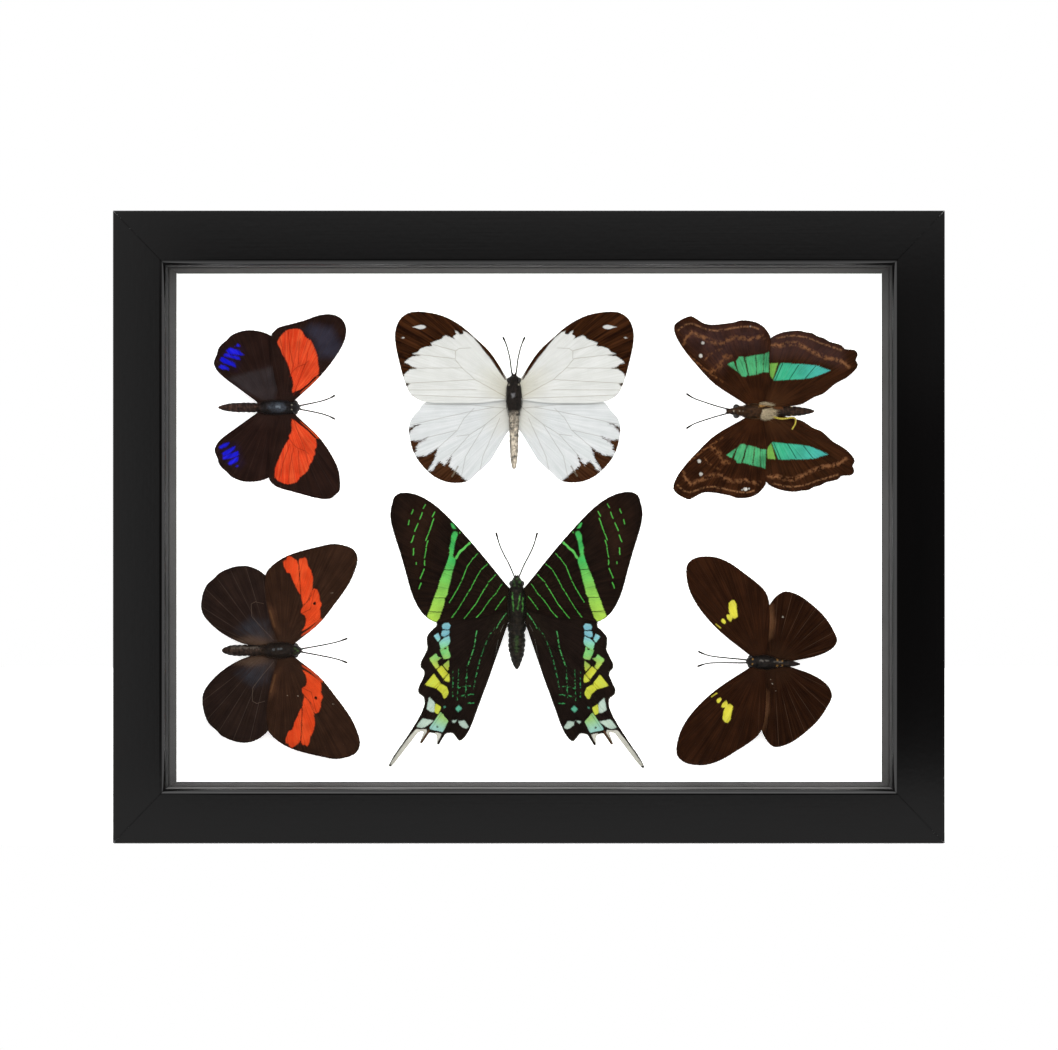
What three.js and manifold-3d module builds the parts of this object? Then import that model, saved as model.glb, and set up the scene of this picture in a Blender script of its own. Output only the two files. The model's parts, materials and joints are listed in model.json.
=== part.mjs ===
// A glazed shadow-box frame with six set butterflies, in millimetres, +Z up, its front facing -Y.
// The origin is the middle of the underside of the bottom rail.
import * as THREE from "three";
import { mergeVertices } from "three/addons/utils/BufferGeometryUtils.js";
import Module from "manifold-3d";

const wasm = await Module();
wasm.setup();

// Frame
const FRAME_WIDTH = 280;
const FRAME_HEIGHT = 213;
const FRAME_DEPTH = 34;
const STILE_WIDTH = 17.7;
const RAIL_WIDTH = 18.4;
const LIP_DEPTH = 6;
const RABBET = 6;
const OUTER_ROUND = 1.1;
const NOSE_ROUND = 1.9;
const ROUND_STEPS = 5;
const MITRE_SETBACK = 0.12;

// What the frame holds, from front to back, with a gap between neighbours
const GAP = 0.3;
const GLASS_THICKNESS = 2;
const SPACER_DEPTH = 16.1;
const BOARD_THICKNESS = 3;
const BACK_THICKNESS = 3;

// Sawtooth hanger
const HANGER_LENGTH = 46;
const HANGER_HEIGHT = 8;
const HANGER_THICKNESS = 0.8;
const HANGER_TEETH = 13;
const TOOTH_HEIGHT = 1.8;
const HANGER_BELOW_TOP = 34;
const RIVET_RADIUS = 2.2;
const RIVET_HEAD = 0.7;
const RIVET_SIDES = 10;

// Heights above the mount board
const BODY_LEVEL = 6.7;
const HINDWING_LEVEL = 6.0;
const FOREWING_LEVEL = 6.8;
const WING_THICKNESS = 0.4;

// Insect details
const BODY_SIDES = 10;
const BODY_DEPTH_RATIO = 1.05;
const WING_SPAN_STEPS = 2;
const ROOT_STEPS = 4;
const ANTENNA_RADIUS = 0.17;
const CLUB_RADIUS = 0.34;
const CLUB_START = 0.75;
const ANTENNA_SIDES = 4;
const ANTENNA_STEPS = 5;
const LEG_RADIUS = 0.24;
const LEG_SIDES = 4;
const LEG_STEPS = 2;
const PAD_WIDTH = 3.4;
const PAD_LENGTH = 7;
const USUAL_HALF_WIDTH = 2.6;

const faceY = -FRAME_DEPTH / 2;
const glassY = faceY + LIP_DEPTH + GAP;
const spacerY = glassY + GLASS_THICKNESS + GAP;
const boardY = spacerY + SPACER_DEPTH + GAP;
const backY = boardY + BOARD_THICKNESS + GAP;
const hangerY = backY + BACK_THICKNESS + GAP;
const sightX = FRAME_WIDTH / 2 - STILE_WIDTH;
const fillX = sightX + RABBET - GAP;
const sightBottom = RAIL_WIDTH;
const sightTop = FRAME_HEIGHT - RAIL_WIDTH;
const fillBottom = sightBottom - RABBET + GAP;
const fillTop = sightTop + RABBET - GAP;

// Each insect has its own axes: x outboard to its right, y forward to its head, z up from the board.
// An outline runs from the front of the wing root round the tip to the back of the root, for the right
// wing. wide and long stretch it along x and y, and swing turns it forward, in degrees, because no two
// wings grew or were set alike. body rows are [y, half width] from head to tail.
const SPECIMENS = [
  {
    name: "scarlet",
    at: [-86.9, 147.8],
    turn: -90,
    colors: { forewing: 0xd83a22, hindwing: 0x241712, body: 0x1d1a1c },
    forewing: {
      outline: [
        [2.7, 5.5], [5.6, 9.6], [11.3, 15.5], [17.0, 20.0], [22.5, 23.2], [26.9, 24.0], [30.3, 22.6],
        [32.0, 19.2], [31.7, 14.5], [30.0, 9.7], [28.7, 4.9], [27.6, 0.9], [26.6, -0.5], [24.7, -1.8],
        [12.0, -1.0], [2.6, 1.4],
      ],
      left: { wide: 1, long: 1, swing: 0 },
      right: {
        wide: 1, long: 1, swing: 0,
        outline: [
          [2.7, 5.8], [5.1, 9.2], [10.1, 14.5], [15.0, 18.1], [21.1, 21.2], [26.2, 21.9], [28.6, 21.7],
          [30.0, 20.4], [31.3, 18.7], [31.5, 15.6], [30.2, 9.9], [28.8, 4.9], [27.8, 1.2], [26.2, -1.5],
          [23.7, -2.7], [12.0, -1.5], [2.6, 1.0],
        ],
      },
    },
    hindwing: {
      outline: [
        [2.5, 0.6], [9.0, 3.0], [17.0, 2.6], [22.5, 0.4], [24.7, -1.9], [26.2, -5.6], [26.6, -10.7],
        [25.0, -15.5], [23.2, -17.3], [21.8, -19.0], [20.1, -20.2], [18.4, -20.6], [15.3, -21.7],
        [11.9, -19.9], [7.2, -13.9], [4.8, -10.7], [3.4, -8.7], [2.4, -6.3],
      ],
      left: { wide: 1, long: 1, swing: 0 },
      right: { wide: 0.965, long: 0.98, swing: -0.7 },
    },
    body: [
      [8.0, 0.5], [7.6, 1.2], [6.8, 1.9], [5.4, 1.8], [4.5, 2.1], [1, 2.5], [-3, 2.3], [-5.8, 1.7],
      [-8, 1.7], [-11, 1.75], [-14.5, 1.65], [-17, 1.35], [-19, 0.8], [-20.1, 0.3],
    ],
    eye: [1.45, 6.3, 1.1],
    antenna: [[0.5, 7.4], [0.9, 9.5], [1.6, 13], [2.3, 16], [3.2, 18.5], [4.1, 20.2]],
  },
  {
    name: "white",
    at: [-5.2, 151.1],
    turn: 0,
    colors: { forewing: 0xe6e8e4, hindwing: 0xe2e4e4, body: 0x3a3632 },
    forewing: {
      outline: [
        [2.9, 6.2], [5.0, 10.8], [8.7, 16.2], [13.7, 20.9], [18.6, 25.0], [24.4, 28.1], [30.6, 29.5],
        [36.0, 29.4], [39.3, 27.3], [41.0, 23.6], [41.2, 20.0], [40.6, 16.0], [39.4, 11.0], [38.6, 7.9],
        [36.8, 2.9], [35.2, 0.7], [31.2, -1.3], [20.0, -1.8], [10.0, -1.6], [2.9, -0.6],
      ],
      left: { wide: 0.993, long: 1, swing: 0 },
      right: { wide: 1, long: 1, swing: 0 },
    },
    hindwing: {
      outline: [
        [2.7, -0.9], [12.0, 1.2], [24.0, 0.6], [31.2, -1.5], [33.1, -3.9], [35.8, -7.0], [36.7, -10.3],
        [36.3, -14.0], [35.0, -18.6], [32.7, -22.3], [28.6, -26.4], [24.5, -28.5], [20.7, -29.1],
        [16.2, -28.5], [13.3, -26.0], [8.3, -21.4], [5.0, -15.2], [3.6, -12.8], [2.2, -10.6],
      ],
      left: { wide: 0.99, long: 1, swing: -0.4 },
      right: { wide: 1, long: 1, swing: 0 },
    },
    body: [
      [8.2, 0.5], [7.6, 1.1], [6.8, 1.8], [5.4, 1.9], [4.4, 2.3], [1, 2.65], [-2.5, 2.5], [-4.6, 1.9],
      [-8, 1.8], [-12, 1.6], [-17, 1.5], [-21, 1.2], [-23.6, 0.8], [-24.5, 0.3],
    ],
    eye: [1.45, 6.1, 1.1],
    antenna: [[0.5, 7.2], [0.9, 9.5], [1.4, 13.5], [2.3, 17.2], [3.1, 19.4], [3.8, 20.9]],
  },
  {
    name: "emperor",
    at: [78.2, 146.5],
    turn: 90,
    colors: { forewing: 0x35221a, hindwing: 0x35221a, body: 0x30221a },
    forewing: {
      outline: [
        [2.7, 2.7], [5.4, 8.3], [10.0, 15.1], [16.1, 20.8], [20.2, 24.2], [25.6, 27.6], [29.3, 28.3],
        [30.9, 26.9], [32.4, 24.0], [32.7, 22.2], [31.1, 19.5], [30.1, 17.6], [29.8, 14.6], [30.2, 10.6],
        [30.6, 7.8], [31.3, 5.2], [31.0, 1.5], [30.0, -1.2], [28.2, -3.3], [25.2, -4.9], [18.0, -4.5],
        [10.0, -4.6], [2.8, -2.6],
      ],
      left: { wide: 0.965, long: 0.955, swing: 3.2 },
      right: { wide: 1, long: 1, swing: 0 },
    },
    hindwing: {
      outline: [
        [2.8, -2.4], [10.0, -2.2], [20.0, -2.6], [25.2, -5.0], [26.8, -7.8], [27.6, -11.2], [27.8, -14.8],
        [27.3, -17.1], [27.0, -19.3], [25.9, -21.1], [25.2, -23.4], [24.0, -25.4], [23.4, -27.5],
        [22.7, -29.5], [21.5, -30.7], [21.2, -33.6], [20.3, -34.8], [19.0, -34.9], [17.7, -34.3],
        [16.3, -35.0], [14.7, -34.5], [11.6, -31.1], [9.3, -27.0], [6.1, -23.2], [5.0, -20.2],
        [2.5, -15.7], [2.0, -11.2], [1.9, -7.6],
      ],
      left: { wide: 0.975, long: 0.99, swing: 2.5 },
      right: { wide: 1, long: 1, swing: 0 },
    },
    body: [
      [10.3, 0.4], [9.4, 0.8], [8.2, 1.2], [6.8, 1.7], [5.2, 1.6], [4.0, 2.1], [1, 2.7], [-2.5, 2.5],
      [-5, 1.8], [-8, 1.7], [-13, 1.7], [-16.5, 1.3], [-19, 0.7], [-19.9, 0.3],
    ],
    eye: [1.35, 6.9, 1.15],
    antenna: [[0.6, 8.4], [0.9, 10.4], [1.8, 13.8], [3.1, 17.9], [4.4, 21.5], [6.0, 24.2]],
    trailingLeg: [
      [-1.2, -4.6, 0.2], [-2.6, -8.2, 1.0], [-2.3, -12.8, 1.1], [-4.1, -13.4, 1.0], [-6.3, -12.2, 0.9],
    ],
  },
  {
    name: "postman",
    at: [-86.5, 64.2],
    turn: -90,
    colors: { forewing: 0x3a2018, hindwing: 0x241a16, body: 0x201c1a },
    forewing: {
      outline: [
        [2.9, 5.4], [5.9, 10.5], [10.0, 15.3], [15.4, 19.6], [22.7, 24.9], [28.5, 27.6], [32.4, 28.3],
        [35.3, 26.9], [36.9, 23.4], [37.4, 19.6], [36.7, 15.7], [35.5, 10.3], [33.8, 4.7], [31.3, 0.2],
        [27.6, -3.3], [21.0, -3.8], [15.0, -3.1], [8.0, -1.5], [2.8, 0.4],
      ],
      left: { wide: 0.967, long: 1, swing: -1.5 },
      right: { wide: 1, long: 1, swing: 0 },
    },
    hindwing: {
      outline: [
        [2.8, -0.2], [9.0, 1.0], [17.0, 0.4], [24.0, -1.4], [27.6, -3.3], [30.3, -6.3], [31.7, -9.8],
        [31.7, -13.6], [30.4, -17.6], [29.1, -19.9], [27.8, -21.0], [25.1, -23.9], [20.4, -25.7],
        [15.4, -25.9], [11.5, -23.8], [6.9, -19.1], [3.4, -13.3], [2.3, -10.0], [2.1, -7.6],
      ],
      left: { wide: 0.925, long: 1, swing: -1.5 },
      right: { wide: 1, long: 1, swing: 0 },
    },
    body: [
      [8.3, 0.5], [7.7, 1.1], [6.8, 1.7], [5.4, 1.9], [4.2, 2.4], [1, 2.8], [-2.5, 2.4], [-4.8, 1.7],
      [-8, 1.9], [-12, 2.0], [-15.5, 1.9], [-17.6, 1.4], [-18.8, 0.8], [-19.3, 0.3],
    ],
    eye: [1.45, 6.1, 1.1],
    antenna: [[0.4, 7.4], [0.8, 9.6], [1.4, 13], [2.2, 17.2], [3.1, 21], [4.2, 24.1]],
  },
  {
    name: "urania",
    at: [-4.25, 80.8],
    turn: 0,
    colors: { forewing: 0x2c3a1c, hindwing: 0x1c2a20, body: 0x1d211a },
    forewing: {
      outline: [
        [2.9, 4.4], [4.9, 7.0], [9.9, 13.9], [15.9, 21.2], [21.9, 27.9], [27.5, 33.3], [33.1, 36.8],
        [38.3, 38.0], [41.5, 37.0], [42.6, 34.4], [43.3, 30.3], [42.4, 25.1], [40.2, 18.0], [38.1, 10.5],
        [36.4, 4.2], [34.2, -1.0], [31.6, -4.5], [27.8, -6.7], [20.0, -5.9], [10.0, -4.6], [3.5, -2.0],
      ],
      left: { wide: 1, long: 1, swing: -0.4 },
      right: { wide: 1, long: 1, swing: 0 },
    },
    hindwing: {
      outline: [
        [3.6, -2.4], [10.0, -2.2], [20.0, -3.4], [27.6, -6.5], [27.9, -8.6], [28.9, -9.4], [31.2, -12.4],
        [31.0, -16.5], [33.2, -21.1], [33.2, -22.8], [32.2, -23.7], [32.0, -25.6], [34.0, -30.1],
        [33.7, -31.8], [32.0, -33.2], [31.9, -36.2], [34.7, -42.0], [39.5, -49.4], [43.9, -56.6],
        [43.2, -57.1], [38.6, -51.0], [34.6, -45.7], [31.9, -44.9], [33.2, -48.8], [32.4, -48.9],
        [30.2, -45.4], [27.4, -46.1], [27.2, -49.3], [26.5, -49.2], [24.4, -45.8], [21.8, -45.4],
        [19.4, -48.0], [16.7, -45.4], [14.3, -39.7], [11.6, -32.2], [9.0, -25.0], [7.3, -18.4],
        [5.8, -10.7], [3.6, -6.2],
      ],
      left: { wide: 0.99, long: 1, swing: 0.6 },
      right: { wide: 1, long: 1, swing: 0 },
    },
    body: [
      [9.2, 0.5], [8.5, 1.1], [7.0, 1.9], [5.2, 2.2], [4.0, 2.5], [1, 3.0], [-3, 3.1], [-6.4, 2.7],
      [-8.6, 3.4], [-10.4, 2.9], [-14.5, 3.0], [-18, 2.5], [-21.3, 1.4], [-23.1, 0.4],
    ],
    eye: [1.5, 6.4, 1.15],
    antenna: [[0.6, 8.2], [1.3, 10.0], [2.7, 13.2], [4.4, 16.4], [5.9, 19.8], [7.1, 24.0]],
  },
  {
    name: "longwing",
    at: [81.6, 60.1],
    turn: 87,
    colors: { forewing: 0x2f1d13, hindwing: 0x261610, body: 0x17171a },
    forewing: {
      outline: [
        [2.9, 5.0], [4.3, 7.8], [8.2, 13.1], [12.5, 17.9], [18.0, 22.6], [24.0, 26.1], [29.8, 27.5],
        [33.8, 27.1], [35.9, 24.5], [36.5, 20.8], [36.0, 16.6], [33.8, 11.8], [30.6, 7.4], [27.1, 2.9],
        [23.9, 0.0], [19.4, -1.1], [10.0, -0.9], [2.9, 0.2],
      ],
      left: { wide: 1.025, long: 1.02, swing: 2.2 },
      right: { wide: 1, long: 1, swing: 3 },
    },
    hindwing: {
      outline: [
        [2.8, -0.6], [9.0, 1.4], [15.0, 1.2], [19.4, -1.0], [22.4, -3.2], [24.4, -6.3], [23.8, -9.7],
        [21.8, -13.4], [17.3, -18.7], [13.7, -21.7], [10.6, -23.4], [7.4, -24.5], [4.5, -22.6],
        [2.1, -17.3], [1.1, -12.4], [1.2, -8.4],
      ],
      left: { wide: 1.17, long: 0.98, swing: 4.2 },
      right: { wide: 1, long: 1, swing: 3 },
    },
    body: [
      [6.9, 0.5], [6.5, 1.1], [5.7, 1.7], [4.6, 1.8], [3.6, 2.1], [0.5, 2.5], [-2, 2.1], [-4, 1.4],
      [-6.5, 1.25], [-8.5, 1.1], [-10.4, 0.7], [-11.8, 0.2],
    ],
    eye: [1.3, 5.4, 1.0],
    antenna: [[0.4, 6.2], [0.6, 8.5], [0.8, 13], [1.1, 18.2], [1.6, 21], [2.6, 23.7]],
  },
];

// Where three pairs of legs leave the thorax and lie folded beside the pad, from the body's middle
const FOLDED_LEGS = [2.6, 0.2, -2.2].map((y) => [
  [1.1, y, -1.2], [2.2, y + 0.7, -2.5], [2.1, y - 1.2, -3.3],
]);

/** A painted, varnished or bare surface. */
function finish(color, roughness, metalness = 0) {
  return new THREE.MeshStandardMaterial({ color, roughness, metalness });
}

const LACQUER = finish(0x1c1c1c, 0.25);
const GREY_PAPER = finish(0x5c5a58, 0.9);
const WHITE_CARD = finish(0xf6f6f4, 0.85);
const HARDBOARD = finish(0x6b4a2f, 0.8);
const ZINC = finish(0xb9bbbd, 0.4, 0.9);
const FOAM = finish(0xf0efe9, 0.95);
const CLEAR_GLASS = new THREE.MeshStandardMaterial({
  color: 0xffffff, roughness: 0.05, transparent: true, opacity: 0.15,
});

/** A named mesh. */
function piece(name, geometry, material) {
  const mesh = new THREE.Mesh(geometry, material);
  mesh.name = name;
  return mesh;
}

/** A named box between two opposite corners. */
function slab(name, [x0, y0, z0], [x1, y1, z1], material) {
  const mesh = piece(name, new THREE.BoxGeometry(x1 - x0, y1 - y0, z1 - z0), material);
  mesh.position.set((x0 + x1) / 2, (y0 + y1) / 2, (z0 + z1) / 2);
  return mesh;
}

/** A closed skin through rings of equally many points, with a flat end at the first and last ring. */
function loft(rings) {
  const sides = rings[0].length;
  const last = (rings.length - 1) * sides;
  const faces = [];
  for (let ring = 0; ring < rings.length - 1; ring += 1) {
    for (let side = 0; side < sides; side += 1) {
      const a = ring * sides + side;
      const b = ring * sides + ((side + 1) % sides);
      faces.push(a, b, b + sides, a, b + sides, a + sides);
    }
  }
  for (let side = 1; side < sides - 1; side += 1) {
    faces.push(0, side + 1, side, last, last + side, last + side + 1);
  }
  const geometry = new THREE.BufferGeometry();
  geometry.setFromPoints(rings.flat());
  geometry.setIndex(faces);
  return geometry;
}

/** A tube along points, whose radius at a share t of its length is radiusAt(t). */
function tube(points, radiusAt, sides, steps) {
  const path = new THREE.CatmullRomCurve3(points.map(([x, y, z]) => new THREE.Vector3(x, y, z)));
  const { normals, binormals } = path.computeFrenetFrames(steps);
  const rings = Array.from({ length: steps + 1 }, (_, step) => {
    const centre = path.getPointAt(step / steps);
    return Array.from({ length: sides }, (_unused, side) => {
      const angle = (2 * Math.PI * side) / sides;
      return centre.clone()
        .addScaledVector(normals[step], radiusAt(step / steps) * Math.cos(angle))
        .addScaledVector(binormals[step], radiusAt(step / steps) * Math.sin(angle));
    });
  });
  return loft(rings);
}

/** A geometry as a solid that can be joined and cut. */
function solid(geometry) {
  const bare = geometry.clone();
  bare.deleteAttribute("normal");
  bare.deleteAttribute("uv");
  const merged = mergeVertices(bare);
  return new wasm.Manifold(new wasm.Mesh({
    numProp: 3,
    vertProperties: new Float32Array(merged.attributes.position.array),
    triVerts: new Uint32Array(merged.index.array),
  }));
}

/** Several overlapping geometries as one closed geometry. */
function fuse(geometries) {
  const mesh = geometries.map(solid).reduce((whole, part) => whole.add(part)).getMesh();
  const geometry = new THREE.BufferGeometry();
  geometry.setAttribute("position", new THREE.Float32BufferAttribute(mesh.vertProperties, 3));
  geometry.setIndex(new THREE.Uint32BufferAttribute(mesh.triVerts, 1));
  return geometry;
}

/** A moulding's section: x inward from the outer side, y back from the face. */
function mouldingSection(width) {
  const section = new THREE.Shape();
  const inner = width - RABBET;
  section.moveTo(0, FRAME_DEPTH);
  section.lineTo(0, OUTER_ROUND);
  section.absarc(OUTER_ROUND, OUTER_ROUND, OUTER_ROUND, Math.PI, 1.5 * Math.PI, false);
  section.lineTo(width - NOSE_ROUND, 0);
  section.absarc(width - NOSE_ROUND, NOSE_ROUND, NOSE_ROUND, 1.5 * Math.PI, 2 * Math.PI, false);
  section.lineTo(width, LIP_DEPTH);
  section.lineTo(inner, LIP_DEPTH);
  section.lineTo(inner, FRAME_DEPTH);
  return section;
}

/** A moulding along z from 0 to length, whose ends are cut to meet neighbours of another width. */
function mitredMoulding(length, width, neighbourWidth) {
  const geometry = new THREE.ExtrudeGeometry(mouldingSection(width), {
    depth: length, bevelEnabled: false, curveSegments: ROUND_STEPS,
  });
  const position = geometry.attributes.position;
  for (let index = 0; index < position.count; index += 1) {
    const cut = (position.getX(index) * neighbourWidth) / width + MITRE_SETBACK;
    position.setZ(index, position.getZ(index) < length / 2 ? cut : length - cut);
  }
  return geometry;
}

/** The four mouldings, each turned about Y from its own corner. */
function frameMouldings() {
  const half = FRAME_WIDTH / 2;
  const stile = [FRAME_HEIGHT, STILE_WIDTH, RAIL_WIDTH];
  const rail = [FRAME_WIDTH, RAIL_WIDTH, STILE_WIDTH];
  const sides = [
    ["frame_stile_left", stile, [-half, 0], 0],
    ["frame_rail_top", rail, [-half, FRAME_HEIGHT], Math.PI / 2],
    ["frame_stile_right", stile, [half, FRAME_HEIGHT], Math.PI],
    ["frame_rail_bottom", rail, [half, 0], -Math.PI / 2],
  ];
  return sides.map(([name, sizes, [x, z], turn]) => {
    const mesh = piece(name, mitredMoulding(...sizes), LACQUER);
    mesh.position.set(x, faceY, z);
    mesh.rotation.y = turn;
    return mesh;
  });
}

/** Grey strips round the sight opening, between the glass and the board. */
function spacers() {
  const back = spacerY + SPACER_DEPTH;
  const side = sightX - GAP;
  return [
    slab("spacer_left", [-fillX, spacerY, fillBottom], [-sightX, back, fillTop], GREY_PAPER),
    slab("spacer_right", [sightX, spacerY, fillBottom], [fillX, back, fillTop], GREY_PAPER),
    slab("spacer_top", [-side, spacerY, sightTop], [side, back, fillTop], GREY_PAPER),
    slab("spacer_bottom", [-side, spacerY, fillBottom], [side, back, sightBottom], GREY_PAPER),
  ];
}

/** Glass, mount board and back panel, which fill the rabbet. */
function sheets() {
  const layers = [
    ["glass", glassY, GLASS_THICKNESS, CLEAR_GLASS],
    ["mount_board", boardY, BOARD_THICKNESS, WHITE_CARD],
    ["back_panel", backY, BACK_THICKNESS, HARDBOARD],
  ];
  return layers.map(([name, y, thickness, material]) => (
    slab(name, [-fillX, y, fillBottom], [fillX, y + thickness, fillTop], material)
  ));
}

/** A strip with a sawtooth lower edge and a rivet at each end, flat on the back panel. */
function hanger() {
  const strip = new THREE.Shape();
  const half = HANGER_LENGTH / 2;
  const toothed = half - 2 * RIVET_RADIUS - 2;
  const pitch = (2 * toothed) / HANGER_TEETH;
  strip.moveTo(-half, 0);
  strip.lineTo(-toothed, 0);
  for (let tooth = 0; tooth < HANGER_TEETH; tooth += 1) {
    strip.lineTo(-toothed + (tooth + 0.5) * pitch, TOOTH_HEIGHT);
    strip.lineTo(-toothed + (tooth + 1) * pitch, 0);
  }
  strip.lineTo(half, 0);
  strip.lineTo(half, HANGER_HEIGHT);
  strip.lineTo(-half, HANGER_HEIGHT);
  const plate = new THREE.ExtrudeGeometry(strip, { depth: HANGER_THICKNESS, bevelEnabled: false });
  const thick = HANGER_THICKNESS + RIVET_HEAD;
  const rivets = [-1, 1].map((side) => (
    new THREE.CylinderGeometry(RIVET_RADIUS, RIVET_RADIUS, thick, RIVET_SIDES)
      .rotateX(Math.PI / 2)
      .translate(side * (half - RIVET_RADIUS - 1), HANGER_HEIGHT / 2, thick / 2)
  ));
  const mesh = piece("hanger", fuse([plate, ...rivets]), ZINC);
  mesh.position.set(0, hangerY, FRAME_HEIGHT - HANGER_BELOW_TOP);
  mesh.rotation.set(Math.PI / 2, 0, Math.PI, "ZYX");
  return mesh;
}

/** The body's half width at y, by straight lines between its rows. */
function flank(rows, y) {
  const next = rows.findIndex(([rowY]) => rowY < y);
  if (next === 0) return 0;
  if (next < 0) return rows[rows.length - 1][1];
  const [y0, w0] = rows[next - 1];
  const [y1, w1] = rows[next];
  return w0 + ((w1 - w0) * (y0 - y)) / (y0 - y1);
}

/** A wing as a thin plate whose root edge follows the body's side at a gap. */
function wing(name, { outline, wide, long, swing }, side, level, rows, material) {
  const curve = new THREE.CatmullRomCurve3(
    outline.map(([x, y]) => new THREE.Vector3(x, y, 0)), false, "centripetal",
  );
  const axis = new THREE.Vector3(0, 0, 1);
  const scale = new THREE.Vector3(wide, long, 1);
  const edge = curve.getPoints((outline.length - 1) * WING_SPAN_STEPS).map((point) => {
    const { x, y } = point.multiply(scale).applyAxisAngle(axis, THREE.MathUtils.degToRad(swing));
    return [Math.max(x, flank(rows, y) + GAP), y];
  });
  const front = edge[0][1];
  const back = edge[edge.length - 1][1];
  for (let step = 0; step < ROOT_STEPS; step += 1) {
    const y = back + ((front - back) * (step + 0.5)) / ROOT_STEPS;
    edge.push([flank(rows, y) + GAP, y]);
  }
  const shape = new THREE.Shape(edge.map(([x, y]) => new THREE.Vector2(side * x, y)));
  const plate = new THREE.ExtrudeGeometry(shape, { depth: WING_THICKNESS, bevelEnabled: false });
  return piece(name, plate.translate(0, 0, level), material);
}

/** Head, thorax and abdomen as one loft of ellipses. */
function trunk(rows) {
  return loft(rows.map(([y, width]) => Array.from({ length: BODY_SIDES }, (_, side) => {
    const angle = (2 * Math.PI * side) / BODY_SIDES;
    return new THREE.Vector3(
      width * Math.cos(angle), y, BODY_LEVEL + BODY_DEPTH_RATIO * width * Math.sin(angle),
    );
  })));
}

/** Both antennae, slim tubes that swell to a club at the tip. */
function antennae(path) {
  const radiusAt = (t) => (t > CLUB_START ? CLUB_RADIUS : ANTENNA_RADIUS);
  return [-1, 1].map((side) => {
    const points = path.map(([x, y], index) => [side * x, y, BODY_LEVEL + 0.4 + 0.2 * index]);
    return tube(points, radiusAt, ANTENNA_SIDES, ANTENNA_STEPS);
  });
}

/** Legs folded under the thorax, and any leg that lies out over a hindwing. */
function legs(rows, trailingLeg) {
  const size = Math.max(...rows.map(([, width]) => width)) / USUAL_HALF_WIDTH;
  const folded = [-1, 1].flatMap((side) => (
    FOLDED_LEGS.map((path) => path.map(([x, y, z]) => [side * x * size, y * size, z]))
  ));
  const paths = trailingLeg ? [...folded, trailingLeg] : folded;
  return paths.map((path) => (
    tube(path.map(([x, y, z]) => [x, y, BODY_LEVEL + z]), () => LEG_RADIUS, LEG_SIDES, LEG_STEPS)
  ));
}

/** A whole insect body: trunk, eyes, antennae and legs, which grew as one. */
function body({ name, body: rows, eye: [x, y, radius], antenna, trailingLeg }, material) {
  const eyes = [-1, 1].map((side) => (
    new THREE.IcosahedronGeometry(radius, 1).translate(side * x, y, BODY_LEVEL)
  ));
  const parts = [trunk(rows), ...eyes, ...antennae(antenna), ...legs(rows, trailingLeg)];
  return piece(`${name}_body`, fuse(parts), material);
}

/** The foam block between the board and the thorax. */
function pad({ name, body: rows }) {
  const top = BODY_LEVEL - BODY_DEPTH_RATIO * Math.max(...rows.map(([, width]) => width)) - GAP;
  return slab(
    `${name}_pad`, [-PAD_WIDTH / 2, -PAD_LENGTH / 2, GAP], [PAD_WIDTH / 2, PAD_LENGTH / 2, top], FOAM,
  );
}

/** One insect with its pad, set on the board. */
function specimen(insect) {
  const { name, at: [x, z], turn, colors, body: rows } = insect;
  const group = new THREE.Group();
  group.add(body(insect, finish(colors.body, 0.7)), pad(insect));
  for (const [kind, level] of [["forewing", FOREWING_LEVEL], ["hindwing", HINDWING_LEVEL]]) {
    for (const [hand, side] of [["left", -1], ["right", 1]]) {
      const shape = { outline: insect[kind].outline, ...insect[kind][hand] };
      const material = finish(colors[kind], 0.7);
      group.add(wing(`${name}_${kind}_${hand}`, shape, side, level, rows, material));
    }
  }
  group.position.set(x, boardY, z);
  group.rotation.set(Math.PI / 2, 0, THREE.MathUtils.degToRad(turn));
  return group;
}

const framedButterflies = new THREE.Group();
framedButterflies.add(...frameMouldings(), ...spacers(), ...sheets(), hanger());
framedButterflies.add(...SPECIMENS.map(specimen));

export default framedButterflies;
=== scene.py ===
"""Looks of a black shadow-box frame with six set butterflies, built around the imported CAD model."""
import json
import logging
import math
from dataclasses import dataclass
from enum import Enum, IntEnum
from typing import Any, Callable, Iterable, Optional, Sequence, Union

import bpy
import numpy as np
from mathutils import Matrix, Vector
from mathutils.geometry import tessellate_polygon

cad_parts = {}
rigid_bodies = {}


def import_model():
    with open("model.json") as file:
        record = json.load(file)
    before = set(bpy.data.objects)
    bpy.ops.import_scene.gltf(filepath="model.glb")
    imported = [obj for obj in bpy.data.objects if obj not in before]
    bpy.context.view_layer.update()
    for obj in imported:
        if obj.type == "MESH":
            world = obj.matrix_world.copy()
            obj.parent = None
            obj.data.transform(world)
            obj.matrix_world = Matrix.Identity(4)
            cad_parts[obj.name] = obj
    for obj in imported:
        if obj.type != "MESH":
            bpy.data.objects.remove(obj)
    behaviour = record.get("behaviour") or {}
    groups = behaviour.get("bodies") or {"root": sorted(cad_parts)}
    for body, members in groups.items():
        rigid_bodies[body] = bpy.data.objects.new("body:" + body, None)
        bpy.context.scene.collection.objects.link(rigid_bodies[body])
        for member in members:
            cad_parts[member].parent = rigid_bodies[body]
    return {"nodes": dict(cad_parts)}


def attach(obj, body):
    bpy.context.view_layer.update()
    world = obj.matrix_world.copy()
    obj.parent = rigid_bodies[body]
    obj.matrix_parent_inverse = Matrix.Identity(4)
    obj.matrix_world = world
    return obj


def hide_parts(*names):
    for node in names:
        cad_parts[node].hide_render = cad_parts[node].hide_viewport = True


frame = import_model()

LOG = logging.getLogger("framed_butterflies")
MM = 0.001
BOARD_Y = 8.0
STUDIO_LIGHT = 1.6
RING_PITCH = 1.75
WHITE = (1.0, 1.0, 1.0, 1.0)
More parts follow.
